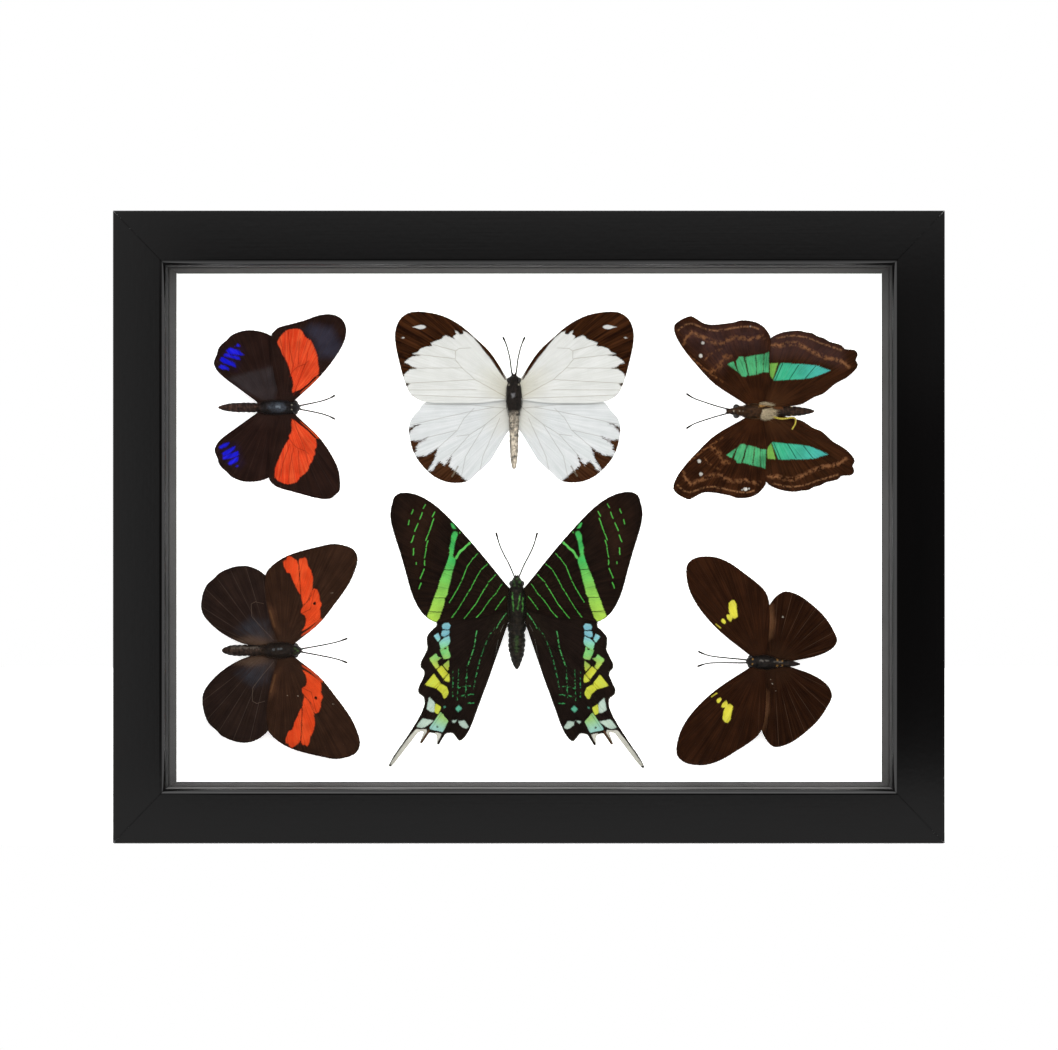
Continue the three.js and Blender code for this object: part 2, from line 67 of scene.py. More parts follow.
DUSK = (0.62, 0.62, 0.62, 1.0)
Point = tuple[float, float]
Path = tuple[Point, ...]
Color = tuple[float, float, float]


class Side(Enum):
    """Which side of an insect a wing grows on, as the sign of its x."""

    LEFT = -1
    RIGHT = 1


class Kind(Enum):
    """The two pairs of wings."""

    FOREWING = "forewing"
    HINDWING = "hindwing"


def paint(color: Color, light: float = 1.0) -> tuple[float, float, float, float]:
    """Linear RGBA of a colour given as it looks on a screen, each channel 0 to 255.

    Args:
        color: How the surface looks.
        light: How much brighter than plain daylight it is lit, which is divided out.

    Returns:
        The colour as a material takes it.
    """
    share = np.asarray(color, float) / 255
    linear = np.where(share <= 0.04045, share / 12.92, ((share + 0.055) / 1.055) ** 2.4)
    return (*(linear / light).tolist(), 1.0)


def lit(color: Color) -> tuple[float, float, float, float]:
    """Linear RGBA of an insect's colour, which shows as given under the bright studio light."""
    return paint(color, STUDIO_LIGHT)


# Shader writing


class Value:
    """A shader socket that can be used in Python expressions."""

    def __init__(self, tree: "Finish", socket: Any) -> None:
        """Wrap a socket of a finish's node tree."""
        self.tree = tree
        self.socket = socket

    def __add__(self, other: "Number") -> "Value":
        """self + other."""
        return self.tree.math("ADD", self, other)

    def __radd__(self, other: "Number") -> "Value":
        """other + self."""
        return self.tree.math("ADD", other, self)

    def __sub__(self, other: "Number") -> "Value":
        """self - other."""
        return self.tree.math("SUBTRACT", self, other)

    def __rsub__(self, other: "Number") -> "Value":
        """other - self."""
        return self.tree.math("SUBTRACT", other, self)

    def __mul__(self, other: "Number") -> "Value":
        """self * other."""
        return self.tree.math("MULTIPLY", self, other)

    def __rmul__(self, other: "Number") -> "Value":
        """other * self."""
        return self.tree.math("MULTIPLY", other, self)

    def __truediv__(self, other: "Number") -> "Value":
        """self / other."""
        return self.tree.math("DIVIDE", self, other)

    def __abs__(self) -> "Value":
        """The absolute value."""
        return self.tree.math("ABSOLUTE", self)

    def least(self, other: "Number") -> "Value":
        """The smaller of self and other."""
        return self.tree.math("MINIMUM", self, other)

    def most(self, other: "Number") -> "Value":
        """The larger of self and other."""
        return self.tree.math("MAXIMUM", self, other)

    def clamped(self) -> "Value":
        """self held between 0 and 1."""
        return self.tree.math("ADD", self, 0.0, clamp=True)

    def steep(self, start: float, slope: float) -> "Value":
        """slope * (self - start), held between 0 and 1."""
        return ((self - start) * slope).clamped()

    def fraction(self) -> "Value":
        """The part after the decimal point."""
        return self.tree.math("FRACT", self)


Number = Union[Value, float]


class Finish:
    """A node-based material that is written with Python expressions."""

    def __init__(self, name: str) -> None:
        """Start an empty material called name.

        Args:
            name: The material's name.
        """
        self.material = bpy.data.materials.new(name)
        self.material.use_nodes = True
        self.material.node_tree.nodes.clear()

    def node(self, kind: str, settings: Optional[dict] = None, inputs: Optional[dict] = None) -> Any:
        """Add a node.

        Args:
            kind: Blender's name of the node type, without the ShaderNode prefix.
            settings: Attributes that are set first.
            inputs: Values or links, by socket name or index.

        Returns:
            The new node.
        """
        made = self.material.node_tree.nodes.new("ShaderNode" + kind)
        for key, value in (settings or {}).items():
            setattr(made, key, value)
        for key, value in (inputs or {}).items():
            self.feed(made.inputs[key], value)
        return made

    def feed(self, socket: Any, value: Any) -> None:
        """Link a socket to value, or set it where value is a constant.

        Args:
            socket: Input of a node.
            value: What goes into it.
        """
        if isinstance(value, Value):
            self.material.node_tree.links.new(value.socket, socket)
        else:
            socket.default_value = value

    def math(self, operation: str, *values: Number, clamp: bool = False) -> Value:
        """A Math node on one or two values."""
        settings = {"operation": operation, "use_clamp": clamp}
        return Value(self, self.node("Math", settings, dict(enumerate(values))).outputs[0])

    def vector(self, operation: str, inputs: dict, output: str = "Vector") -> Value:
        """A Vector Math node."""
        return Value(self, self.node("VectorMath", {"operation": operation}, inputs).outputs[output])

    def attribute(self, name: str, output: str = "Fac") -> Value:
        """A mesh attribute, as a number or as a vector."""
        made = self.node("Attribute", {"attribute_name": name})
        return Value(self, made.outputs[output])

    def mixed(self, factor: Number, first: Any, second: Any, blend: str = "MIX") -> Value:
        """A colour between first and second."""
        settings = {"data_type": "RGBA", "blend_type": blend}
        return Value(self, self.node("Mix", settings, {0: factor, 6: first, 7: second}).outputs[2])

    def dimmed(self, color: Value, share: Number, light: Any, dark: Any) -> Value:
        """A colour times light where share is 0, and times dark where it is 1."""
        return self.mixed(1.0, color, self.mixed(share, light, dark), "MULTIPLY")

    def noise(self, place: Value, scale: float, detail: float = 2.0) -> Value:
        """Smooth noise around 0.5, with about scale bumps for each unit of place."""
        made = self.node("TexNoise", {}, {"Vector": place, "Scale": scale, "Detail": detail})
        return Value(self, made.outputs["Fac"])

    def stretched(self, place: Value, factors: tuple[float, float, float]) -> Value:
        """A place whose axes are multiplied by factors."""
        return self.vector("MULTIPLY", {0: place, 1: factors})

    def objects(self) -> Value:
        """Object coordinates in mm."""
        place = Value(self, self.node("TexCoord").outputs["Object"])
        return self.vector("SCALE", {0: place, "Scale": 1 / MM})

    def bump(self, height: Value, depth_mm: float, strength: float = 1.0) -> Value:
        """A normal bent by a height between 0 and 1, which stands for depth_mm."""
        inputs = {"Height": height, "Distance": depth_mm * MM, "Strength": strength}
        return Value(self, self.node("Bump", {}, inputs).outputs["Normal"])

    def near(self, place: Value, paths: Iterable[Path]) -> Value:
        """Distance in mm from place to the nearest of several polylines.

        For a stretch from A along D, the nearest point is A + h D with
        h = clamp((P - A) . D / |D|^2), and the smallest distance over all stretches counts.

        Args:
            place: The point P on the wing's plan.
            paths: Polylines through given points.

        Returns:
            The distance.
        """
        best: Optional[Value] = None
        for path in paths:
            for (x0, y0), (x1, y1) in zip(path[:-1], path[1:]):
                along = (x1 - x0, y1 - y0, 0.0)
                square = along[0] ** 2 + along[1] ** 2
                share = (along[0] / square, along[1] / square, 0.0)
                offset = self.vector("SUBTRACT", {0: place, 1: (x0, y0, 0.0)})
                reach = self.vector("DOT_PRODUCT", {0: offset, 1: share}, "Value").clamped()
                foot = self.vector("SCALE", {0: along, "Scale": reach})
                apart = self.vector("DISTANCE", {0: offset, 1: foot}, "Value")
                best = apart if best is None else best.least(apart)
        assert best is not None
        return best

    def surface(self, **inputs: Any) -> bpy.types.Material:
        """Close the material with one Principled shader.

        Args:
            inputs: Its sockets, with spaces written as underscores.

        Returns:
            The finished material.
        """
        named = {key.replace("_", " "): value for key, value in inputs.items()}
        shader = self.node("BsdfPrincipled", {}, named)
        return self.output(shader.outputs["BSDF"])

    def output(self, socket: Any) -> bpy.types.Material:
        """Link a shader to the material's output."""
        self.node("OutputMaterial", {}, {"Surface": Value(self, socket)})
        return self.material


# Surfaces


def cells(a: np.ndarray, b: np.ndarray, c: np.ndarray, d: np.ndarray) -> np.ndarray:
    """The triangles abc and acd of every cell with the corners a, b, c and d."""
    return np.concatenate([np.stack(three, -1).reshape(-1, 3) for three in ((a, b, c), (a, c, d))])


def turned_out(points: np.ndarray, faces: np.ndarray) -> np.ndarray:
    """Closed faces, turned over where their volume, the sum of a . (b x c) / 6, is negative.

    Args:
        points: Array of points by 3.
        faces: Array of triangles by 3 indices.

    Returns:
        Triangles that face outward.
    """
    corners = points[faces]
    volume = np.einsum("ij,ij->i", corners[:, 0], np.cross(corners[:, 1], corners[:, 2])).sum()
    return faces[:, ::-1] if volume < 0 else faces


class Skin:
    """Triangles gathered from grids of points, which become one mesh object."""

    def __init__(self) -> None:
        """Start with no triangles."""
        self.points: list[np.ndarray] = []
        self.faces: list[np.ndarray] = []
        self.slots: list[np.ndarray] = []
        self.values: dict[str, list[np.ndarray]] = {}
        self.count = 0

    def grid(self, points: np.ndarray, wrap: tuple[bool, bool] = (False, False), slot: int = 0,
             values: Optional[dict[str, np.ndarray]] = None) -> None:
        """Add a closed surface over a grid of points.

        Each cell (i, j) gives two triangles. Points that coincide are merged, which closes poles, and
        the whole part is turned over if it is inside out.

        Args:
            points: Array of rows by columns by 3, in mm.
            wrap: Whether the rows and the columns join up.
            slot: Index of the part's material.
            values: Attributes, each with one number or vector for each grid point.
        """
        rows, columns = points.shape[:2]
        index = np.arange(rows * columns).reshape(rows, columns)
        index = np.vstack([index, index[:1]]) if wrap[0] else index
        index = np.hstack([index, index[:, :1]]) if wrap[1] else index
        a, b, c, d = index[:-1, :-1], index[:-1, 1:], index[1:, 1:], index[1:, :-1]
        self.triangles(points.reshape(-1, 3), cells(a, b, c, d), slot, values)

    def triangles(self, points: np.ndarray, faces: np.ndarray, slot: int = 0,
                  values: Optional[dict[str, np.ndarray]] = None) -> None:
        """Add a closed surface of triangles, as grid does.

        Args:
            points: Array of points by 3, in mm.
            faces: Array of triangles by 3 indices.
            slot: Index of the part's material.
            values: Attributes, each with one number or vector for each point.
        """
        keys = np.round(points * 1e4).astype(np.int64)
        _, first, inverse = np.unique(keys, axis=0, return_index=True, return_inverse=True)
        faces = inverse.reshape(-1)[faces]
        distinct = (faces[:, 0] != faces[:, 1]) & (faces[:, 1] != faces[:, 2]) & (faces[:, 2] != faces[:, 0])
        faces = faces[distinct]
        kept = points[first]
        self.points.append(kept)
        self.faces.append(turned_out(kept, faces) + self.count)
        self.slots.append(np.full(len(faces), slot))
        for name, value in (values or {}).items():
            flat = value.reshape(len(points), -1)[first]
            self.values.setdefault(name, []).append(flat)
        self.count += len(kept)

    def blank(self, count: int) -> dict[str, np.ndarray]:
        """Zeros for count points, in each attribute that an earlier part has set."""
        return {key: np.zeros((count, parts[0].shape[1])) for key, parts in self.values.items()}

    def build(self, name: str, place: Callable[[np.ndarray], np.ndarray], materials: Sequence[Any],
              sharp: float = 0.6) -> Any:
        """Make the object.

        Args:
            name: The object's name.
            place: Takes points in mm to the row frame in metres.
            materials: One material for each slot.
            sharp: Angle in radians past which an edge stays sharp.

        Returns:
            The new object, which stands at the origin.
        """
        points = place(np.concatenate(self.points))
        faces = turned_out(points, np.concatenate(self.faces))
        mesh = bpy.data.meshes.new(name)
        mesh.from_pydata(points.tolist(), [], faces.tolist())
        for key, parts in self.values.items():
            data = np.concatenate(parts)
            kind, channel = ("FLOAT", "value") if data.shape[1] == 1 else ("FLOAT_VECTOR", "vector")
            layer = mesh.attributes.new(key, kind, "POINT")
            layer.data.foreach_set(channel, data.astype(np.float32).ravel())
        for material in materials:
            mesh.materials.append(material)
        mesh.polygons.foreach_set("material_index", np.concatenate(self.slots).astype(np.int32))
        mesh.polygons.foreach_set("use_smooth", np.ones(len(faces), bool))
        mesh.set_sharp_from_angle(angle=sharp)
        mesh.update()
        made = bpy.data.objects.new(name, mesh)
        bpy.context.scene.collection.objects.link(made)
        return made


def smooth_path(points: np.ndarray, count: int) -> np.ndarray:
    """A smooth curve through points, with count points at even distances.

    Between neighbours P1 and P2 it is the uniform Catmull-Rom cubic of P0, P1, P2 and P3.

    Args:
        points: Array of points, in order.
        count: How many points the curve gets.

    Returns:
        The resampled curve.
    """
    ends = np.vstack([2 * points[0] - points[1], points, 2 * points[-1] - points[-2]])
    u = np.linspace(0, len(points) - 1, 24 * len(points))
    i = np.minimum(u.astype(int), len(points) - 2)
    t = (u - i)[:, None]
    p0, p1, p2, p3 = ends[i], ends[i + 1], ends[i + 2], ends[i + 3]
    fine = 0.5 * (2 * p1 + (p2 - p0) * t + (2 * p0 - 5 * p1 + 4 * p2 - p3) * t ** 2
                  + (3 * p1 - p0 - 3 * p2 + p3) * t ** 3)
    length = np.concatenate([[0], np.cumsum(np.linalg.norm(np.diff(fine, axis=0), axis=1))])
    even = np.linspace(0, length[-1], count)
    return np.stack([np.interp(even, length, fine[:, axis]) for axis in range(points.shape[1])], -1)


def ripple(x: np.ndarray, waves: Sequence[tuple[float, float, float]]) -> np.ndarray:
    """The sum of height * sin(x * frequency + phase) over waves."""
    return sum(height * np.sin(x * frequency + phase) for height, frequency, phase in waves)


def tube(path: np.ndarray, radii: np.ndarray, sides: int) -> np.ndarray:
    """Rings of points round a path, pinched to a point at both ends.

    Ring k is path[k] + radii[k] (cos a n + sin a b), where b = tangent x up and n = b x tangent.

    Args:
        path: Points of the middle line, in mm.
        radii: Radius at each point.
        sides: Points for each ring.

    Returns:
        A grid of points that wraps in its columns.
    """
    tangent = np.gradient(path, axis=0)
    tangent /= np.linalg.norm(tangent, axis=1, keepdims=True)
    across = np.cross(tangent, np.array([0.02, 0.01, 1.0]))
    across /= np.linalg.norm(across, axis=1, keepdims=True)
    normal = np.cross(across, tangent)
    angle = np.linspace(0, 2 * math.pi, sides, endpoint=False)
    ring = np.cos(angle)[None, :, None] * normal[:, None] + np.sin(angle)[None, :, None] * across[:, None]
    rings = path[:, None] + radii[:, None, None] * ring
    ends = [np.repeat(path[k][None, None], sides, axis=1) for k in (0, -1)]
    return np.concatenate([ends[0], rings, ends[1]])


def signed_distance(places: np.ndarray, shapes: Iterable[Path]) -> np.ndarray:
    """Distance in mm to the edge of the nearest polygon, negative inside one.

    The distance is the least |P - A - h D| over the edges, and a point is inside where a line from it
    crosses the outline an odd number of times.

    Args:
        places: Points as an array of rows of x and y.
        shapes: Polygons, which needn't be closed.

    Returns:
        One distance for each place.
    """
    best = np.full(len(places), 99.0)
    for shape in shapes:
        start = np.asarray(shape, float)
        end = np.roll(start, -1, axis=0)
        along = end - start
        offset = places[:, None] - start[None]
        reach = np.clip((offset * along).sum(-1) / np.maximum((along ** 2).sum(-1), 1e-9), 0, 1)
        apart = np.linalg.norm(offset - reach[..., None] * along, axis=-1).min(1)
        above = places[:, None, 1] < start[None, :, 1]
        under = places[:, None, 1] < end[None, :, 1]
        slope = along[:, 0] / np.where(np.abs(along[:, 1]) < 1e-9, 1e-9, along[:, 1])
        crossing = start[:, 0] + (places[:, None, 1] - start[:, 1]) * slope
        inside = (((above != under) & (places[:, None, 0] < crossing)).sum(1) % 2) == 1
        best = np.minimum(best, np.where(inside, -apart, apart))
    return best


# What the insects look like


@dataclass(frozen=True)
class Fit:
    """How a wing is stretched along x and y and then turned forward, in degrees."""

    wide: float = 1.0
    long: float = 1.0
    swing: float = 0.0

    def matrix(self) -> np.ndarray:
        """The stretch followed by the turn, as a 2 by 2 matrix.

        Returns:
            Array of 2 by 2.
        """
        angle = math.radians(self.swing)
        turn = np.array([[math.cos(angle), -math.sin(angle)], [math.sin(angle), math.cos(angle)]])
        return turn @ np.diag([self.wide, self.long])


def box(x0: float, y0: float, x1: float, y1: float) -> Path:
    """The four corners of a small upright rectangle."""
    return ((x0, y0), (x1, y0), (x1, y1), (x0, y1))


def both(*shapes: Path) -> tuple[Path, ...]:
    """Each shape, followed by its mirror image across the body's middle line."""
    return tuple(tuple((side * x, y) for x, y in shape) for shape in shapes for side in (1, -1))


@dataclass(frozen=True)
class Patch:
    """A coloured area, bounded by given points in mm on the wing before its fit.

    left holds the points for the left wing, as they lie on it, where it differs. fade holds the
    colour that it turns to and the points where that starts and ends.
    """

    color: Color
    shapes: tuple[Path, ...]
    left: Optional[tuple[Path, ...]] = None
    streak: Optional[Color] = None
    fade: Optional[tuple[Color, Point, Point]] = None
    soft: float = 0.3
    ragged: float = 0.35
    share: float = 1.0


@dataclass(frozen=True)
class Stroke:
    """A thin line drawn through given points in mm."""

    color: Color
    width: float
    paths: tuple[Path, ...]
    share: float = 1.0
    wander: float = 0.25
    soft: float = 0.15
    broken: float = 0.0
    fleck: float = 0.9


FORE_VEINS = (0.0, 0.06, 0.13, 0.2, 0.28, 0.35, 0.41, 0.47, 0.53, 0.59, 0.66, 0.76, 1.0)
HIND_VEINS = (0.0, 0.13, 0.24, 0.32, 0.4, 0.47, 0.54, 0.61, 0.69, 0.78, 0.88, 1.0)


@dataclass(frozen=True)
class WingLook:
    """Colours, markings and setting of one pair of wings."""

    roots: tuple[Point, Point]
    base: Color
    streak: Color
    root: Color
    rim: Color
    vein: Color
    left: Fit = Fit()
    right: Fit = Fit()
    patches: tuple[Patch, ...] = ()
    strokes: tuple[Stroke, ...] = ()
    veins: tuple[float, ...] = FORE_VEINS
    vein_share: float = 0.35
    rim_width: float = 0.9
    gloss: float = 0.0
    mottle: float = 0.55
    columns: int = 200
    rows: int = 48


@dataclass(frozen=True)
class BodyLook:
    """Shape and colours of one insect body. rows are y and half width, from head to tail."""

    rows: Path
    eye: tuple[float, float, float]
    antenna: Path
    thorax: Color
    abdomen: Color
    hair: Color
    waist: float
    gloss: float = 0.1
    joint: float = 0.8
    hairs: int = 600
    eye_color: Color = (26, 16, 12)
    limb: Color = (34, 25, 20)
    patches: tuple[Patch, ...] = ()
    trailing_leg: tuple[tuple[float, float, float], ...] = ()
    tuft: tuple[Path, ...] = ()


@dataclass(frozen=True)
class Insect:
    """One set butterfly: where it is on the board, in mm, and how it looks."""

    name: str
    at: Point
    turn: float
    forewing: WingLook
    hindwing: WingLook
    body: BodyLook

    def place(self, points: np.ndarray) -> np.ndarray:
        """Take insect axes in mm to the row frame in metres.

        x and y are turned in the board's plane by the insect's angle, and z goes out towards the glass.

        Args:
            points: Array of points by 3.

        Returns:
            Array of the same shape.
        """
        angle = math.radians(self.turn)
        x = points[:, 0] * math.cos(angle) - points[:, 1] * math.sin(angle)
        z = points[:, 0] * math.sin(angle) + points[:, 1] * math.cos(angle)
        return np.stack([self.at[0] + x, BOARD_Y - points[:, 2], self.at[1] + z], -1) * MM

    def unplace(self, points: np.ndarray) -> np.ndarray:
        """Take the row frame in metres to insect axes in mm.

        Args:
            points: Array of points by 3.

        Returns:
            Array of the same shape.
        """
        angle = math.radians(self.turn)
        x = points[:, 0] / MM - self.at[0]
        z = points[:, 2] / MM - self.at[1]
        right = x * math.cos(angle) + z * math.sin(angle)
        front = -x * math.sin(angle) + z * math.cos(angle)
        return np.stack([right, front, BOARD_Y - points[:, 1] / MM], -1)


# Building the insects


class WingFinish(Finish):
    """The scales of one pair of wings: streaks along the veins, markings, some of them painted sheen, veins
    and a rim.
    """

    VEIN_PITCH = 7.5
    VEIN_HALF = 0.17

    def __init__(self, name: str, look: WingLook) -> None:
        """Start the finish of the wings that look describes.

        Args:
            name: The material's name.
            look: The wings' colours and markings.
        """
        super().__init__(name)
        self.look = look
        self.plan = self.attribute("plan", "Vector")
        self.polar = self.attribute("polar", "Vector")
        self.rim = self.attribute("rim")
        self.radial = self.attribute("radial")
        self.fan = self.attribute("fan")
        self.streaks = self.noise(self.stretched(self.polar, (1.1, 0.06, 0.0)), 1.0, 3.0)
        self.grain = self.noise(self.stretched(self.polar, (5.0, 0.5, 0.0)), 1.0, 2.0)
        self.speck = self.noise(self.plan, 2.6, 3.0)

    def vein_mask(self) -> Value:
        """1 on the middle of a vein, which lies where fan is whole, and 0 past VEIN_HALF mm from it.

        Returns:
            The share of the veins' colour.
        """
        pitch = 0.5 - abs(self.fan.fraction() - 0.5)
        apart = pitch * self.VEIN_PITCH * self.radial
        return (1.0 - apart / self.VEIN_HALF).clamped() * self.radial.steep(0.3, 4.0)

    def ramp(self, start: Point, end: Point) -> Value:
        """A share that is even between two points of the wing's plan.

        Args:
            start: Where it is 0.
            end: Where it is 1.

        Returns:
            clamp((P - start) . D / |D|^2), where D = end - start.
        """
        line = np.subtract(end, start)
        line = line / (line @ line)
        offset = self.vector("SUBTRACT", {0: self.plan, 1: (*start, 0.0)})
        return self.vector("DOT_PRODUCT", {0: offset, 1: (*line.tolist(), 0.0)}, "Value").clamped()

    def patch_mask(self, index: int, patch: Patch) -> Value:
        """Where a marking or a painted sheen is.

        Args:
            index: Its number among the wing's markings.
            patch: The marking or painted sheen.

        Returns:
            Its share inside it and 0 outside, with an edge that frays along the scales.
        """
        fray = (self.grain - 0.5) * (2.4 * patch.ragged) + (self.speck - 0.5) * patch.ragged
        edge = self.attribute(f"mark_{index}") + fray
        return (0.5 - edge / patch.soft).clamped() * patch.share

    def stroke_mask(self, stroke: Stroke) -> Value:
        """Where a thin line is, which wanders and, where it is broken, fades in places.

        Args:
            stroke: The line.

        Returns:
            Its share on the line and 0 beside it.
        """
        shift = self.node("TexNoise", {}, {"Vector": self.plan, "Scale": 0.9, "Detail": 2.0})
        moved = self.vector("MULTIPLY_ADD", {0: Value(self, shift.outputs["Color"]),
                                             1: (stroke.wander * 2, stroke.wander * 2, 0.0),
                                             2: (-stroke.wander, -stroke.wander, 0.0)})
        place = self.vector("ADD", {0: self.plan, 1: moved})
        place = self.vector("MULTIPLY", {0: place, 1: (1.0, 1.0, 0.0)})
        apart = self.near(place, stroke.paths)
        mask = ((stroke.width / 2 - apart) / stroke.soft + 0.5).clamped() * stroke.share
        if stroke.broken:
            flecks = self.noise(self.plan, stroke.fleck, 2.0)
            mask = mask * ((flecks - 0.5) * 6.0 + 1.5 - 2.0 * stroke.broken).clamped()
        return mask

    def make(self) -> bpy.types.Material:
        """Write the material.

        Returns:
            The finished material.
        """
        look = self.look
        color = self.mixed(self.streaks.steep(0.38, 3.2), lit(look.base), lit(look.streak))
        color = self.mixed((0.7 - self.radial * 2.2).clamped(), color, lit(look.root))
        color = self.mixed((1.0 - self.rim / look.rim_width).clamped() * 0.45, color, lit(look.rim))
        for index, patch in enumerate(look.patches):
            streak = patch.streak or tuple(0.88 * channel for channel in patch.color)
            tone = self.mixed(self.streaks.steep(0.4, 3.0), lit(patch.color), lit(streak))
            if patch.fade:
                tone = self.mixed(self.ramp(*patch.fade[1:]), tone, lit(patch.fade[0]))
            color = self.mixed(self.patch_mask(index, patch), color, tone)
        vein = self.vein_mask()
        color = self.mixed(vein * look.vein_share, color, lit(look.vein))
        for stroke in look.strokes:
            color = self.mixed(self.stroke_mask(stroke), color, lit(stroke.color))
        blotch = self.noise(self.stretched(self.polar, (0.8, 0.3, 0.0)), 1.0, 3.0)
        cloud = self.noise(self.plan, 0.16, 3.0)
        worn = (self.speck.steep(0.45, 2.5) * look.mottle,
                blotch.steep(0.42, 5.0) * (0.7 * look.mottle ** 2),
                cloud.steep(0.42, 5.0) * look.mottle)
        for share in worn:
            color = self.dimmed(color, share, WHITE, DUSK)
        height = self.grain * 0.5 + vein * 0.5
        return self.surface(Base_Color=color, Roughness=0.5 + self.speck * 0.25,
                            Specular_IOR_Level=look.gloss, Normal=self.bump(height, 0.06, 0.7))


@dataclass
class WingMaker:
    """Builds one wing as a thin, gently pleated blade over its CAD plate."""

    insect: Insect
    kind: Kind
    side: Side
    blade: float = 0.1
    pleat: float = 0.09
    curl: float = 0.05
    tuck: float = 1.2
    overlap: float = 1.0
    overlap_share: float = 0.06
    under_step: int = 6

    @property
    def node(self) -> str:
        """The CAD node's name."""
        return f"{self.insect.name}_{self.kind.value}_{self.side.name.lower()}"

    @property
    def look(self) -> WingLook:
        """The look of this pair of wings."""
        return self.insect.forewing if self.kind is Kind.FOREWING else self.insect.hindwing

    @property
    def fit(self) -> Fit:
        """How this wing is set."""
        return self.look.left if self.side is Side.LEFT else self.look.right

    def standard(self, points: np.ndarray) -> np.ndarray:
        """Where points of this wing lie before it was stretched and turned by its fit."""
        return points @ np.linalg.inv(self.fit.matrix()).T

    def outline(self) -> tuple[np.ndarray, float]:
        """The plate's edge from the front of the root, round the tip, to the back of the root.

        Returns:
            Points with x outboard, in mm, and the height of the plate's middle above the board.
        """
        mesh = frame["nodes"][self.node].data
        points = np.empty(len(mesh.vertices) * 3, np.float32)
        mesh.vertices.foreach_get("co", points)
        points = self.insect.unplace(points.reshape(-1, 3).astype(float))
        points[:, 0] *= self.side.value
        mesh.calc_loop_triangles()
        faces = np.empty(len(mesh.loop_triangles) * 3, np.int32)
        mesh.loop_triangles.foreach_get("vertices", faces)
        _, first, inverse = np.unique(np.round(points * 200).astype(int), axis=0, return_index=True,
                                      return_inverse=True)
        faces = inverse.reshape(-1)[faces].reshape(-1, 3)
        points = points[first]
        top = points[:, 2].max()
        upper = faces[(points[faces][:, :, 2] > top - 0.05).all(1)]
        edges = np.sort(np.concatenate([upper[:, [0, 1]], upper[:, [1, 2]], upper[:, [2, 0]]]), axis=1)
        edges, seen = np.unique(edges, axis=0, return_counts=True)
        links: dict[int, list[int]] = {}
        for a, b in edges[seen == 1].tolist():
            links.setdefault(a, []).append(b)
            links.setdefault(b, []).append(a)
        rim = np.array(sorted(links))
        ends = np.array(self.look.roots) @ self.fit.matrix().T
        start, stop = (int(rim[np.linalg.norm(points[rim, :2] - end, axis=1).argmin()]) for end in ends)
        chain = [start, max(links[start], key=lambda vertex: points[vertex, 0])]
        while chain[-1] != stop:
            chain.append(next(vertex for vertex in links[chain[-1]] if vertex != chain[-2]))
        return points[chain, :2], float(top + points[:, 2].min()) / 2

    def build(self, material: bpy.types.Material) -> Any:
        """Build the wing.

        The blade runs from the root line R(s), tucked under the body, to the edge O(s) as
        R (1 - t) + O t. A hindwing's front root is moved forward under the forewing. Its height is
        level + pleat cos(2 pi fan) sin(pi t) + curl, faded to nothing at both ends of the root.

        Args:
            material: The finish of this pair of wings.

        Returns:
            The new object.
        """
        look = self.look
        edge, level = self.outline()
        edge = smooth_path(edge, look.columns)
        s = np.linspace(0, 1, look.columns)
        length = np.linalg.norm(np.diff(edge, axis=0), axis=1).sum()
        outward = np.gradient(edge, axis=0)[:, ::-1] * [-1.0, 1.0]
        outward /= np.linalg.norm(outward, axis=1, keepdims=True)
        rough = ripple(s * length, [(0.035, 5.1, 0.3), (0.03, 9.7, 1.9), (0.02, 17.3, self.insect.turn)])
        edge = edge - outward * (rough * np.minimum(1, 8 * np.sin(math.pi * s)))[:, None]
        if self.kind is Kind.HINDWING:
            edge[:, 1] += self.overlap * np.exp(-(s / self.overlap_share) ** 2)
        root = edge[0] + (edge[-1] - edge[0]) * s[:, None] - [self.tuck, 0.0]
        t = np.linspace(0, 1, look.rows)[:, None, None]
        plan = root[None] * (1 - t) + edge[None] * t
        t = t[..., 0]
        reach = np.linalg.norm(edge - root, axis=1)[None]
        fan = np.interp(s, look.veins, np.arange(len(look.veins)))[None] + 0 * t
        fade = np.sin(math.pi * s)[None] ** 0.5
        relief = self.pleat * np.cos(2 * math.pi * fan) * np.sin(math.pi * t) ** 0.7
        curl = self.curl * np.sin(3.1 * s + 0.7)[None] * t ** 2
        middle = level + (relief + curl) * fade
        low = slice(look.rows - 1, None, -self.under_step)
        half = self.blade / 2 * np.minimum(1, 12 * np.sin(math.pi * s))
        rows = [(plan, middle + half, t), (plan[low], middle[low] - half, t[low])]
        if (look.rows - 1) % self.under_step:
            rows.append((plan[:1], middle[:1] - half, t[:1]))
        plan = np.concatenate([row[0] for row in rows])
        height = np.concatenate([row[1] for row in rows])
        t = np.concatenate([row[2] for row in rows])
        mirrored = plan * [self.side.value, 1.0]
        spread = self.standard(plan.reshape(-1, 2))
        values = {
            "plan": np.concatenate([spread, 0 * spread[:, :1]], 1),
            "polar": np.stack([s[None] * length + 0 * t, t * reach, 0 * t + 0 * s[None]], -1),
            "rim": (1 - t) * reach,
            "radial": t + 0 * s[None],
            "fan": np.interp(s, look.veins, np.arange(len(look.veins)))[None] + 0 * t,
        }
        for index, patch in enumerate(look.patches):
            shapes = patch.shapes
            if self.side is Side.LEFT and patch.left is not None:
                shapes = [self.standard(np.array(shape)) for shape in patch.left]
            values[f"mark_{index}"] = signed_distance(spread, shapes)
        skin = Skin()
        skin.grid(np.concatenate([mirrored, height[..., None]], -1), (True, False), values=values)
        made = skin.build(f"{self.node}_scaled", self.insect.place, [material])
        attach(made, "root")
        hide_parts(self.node)
        return made


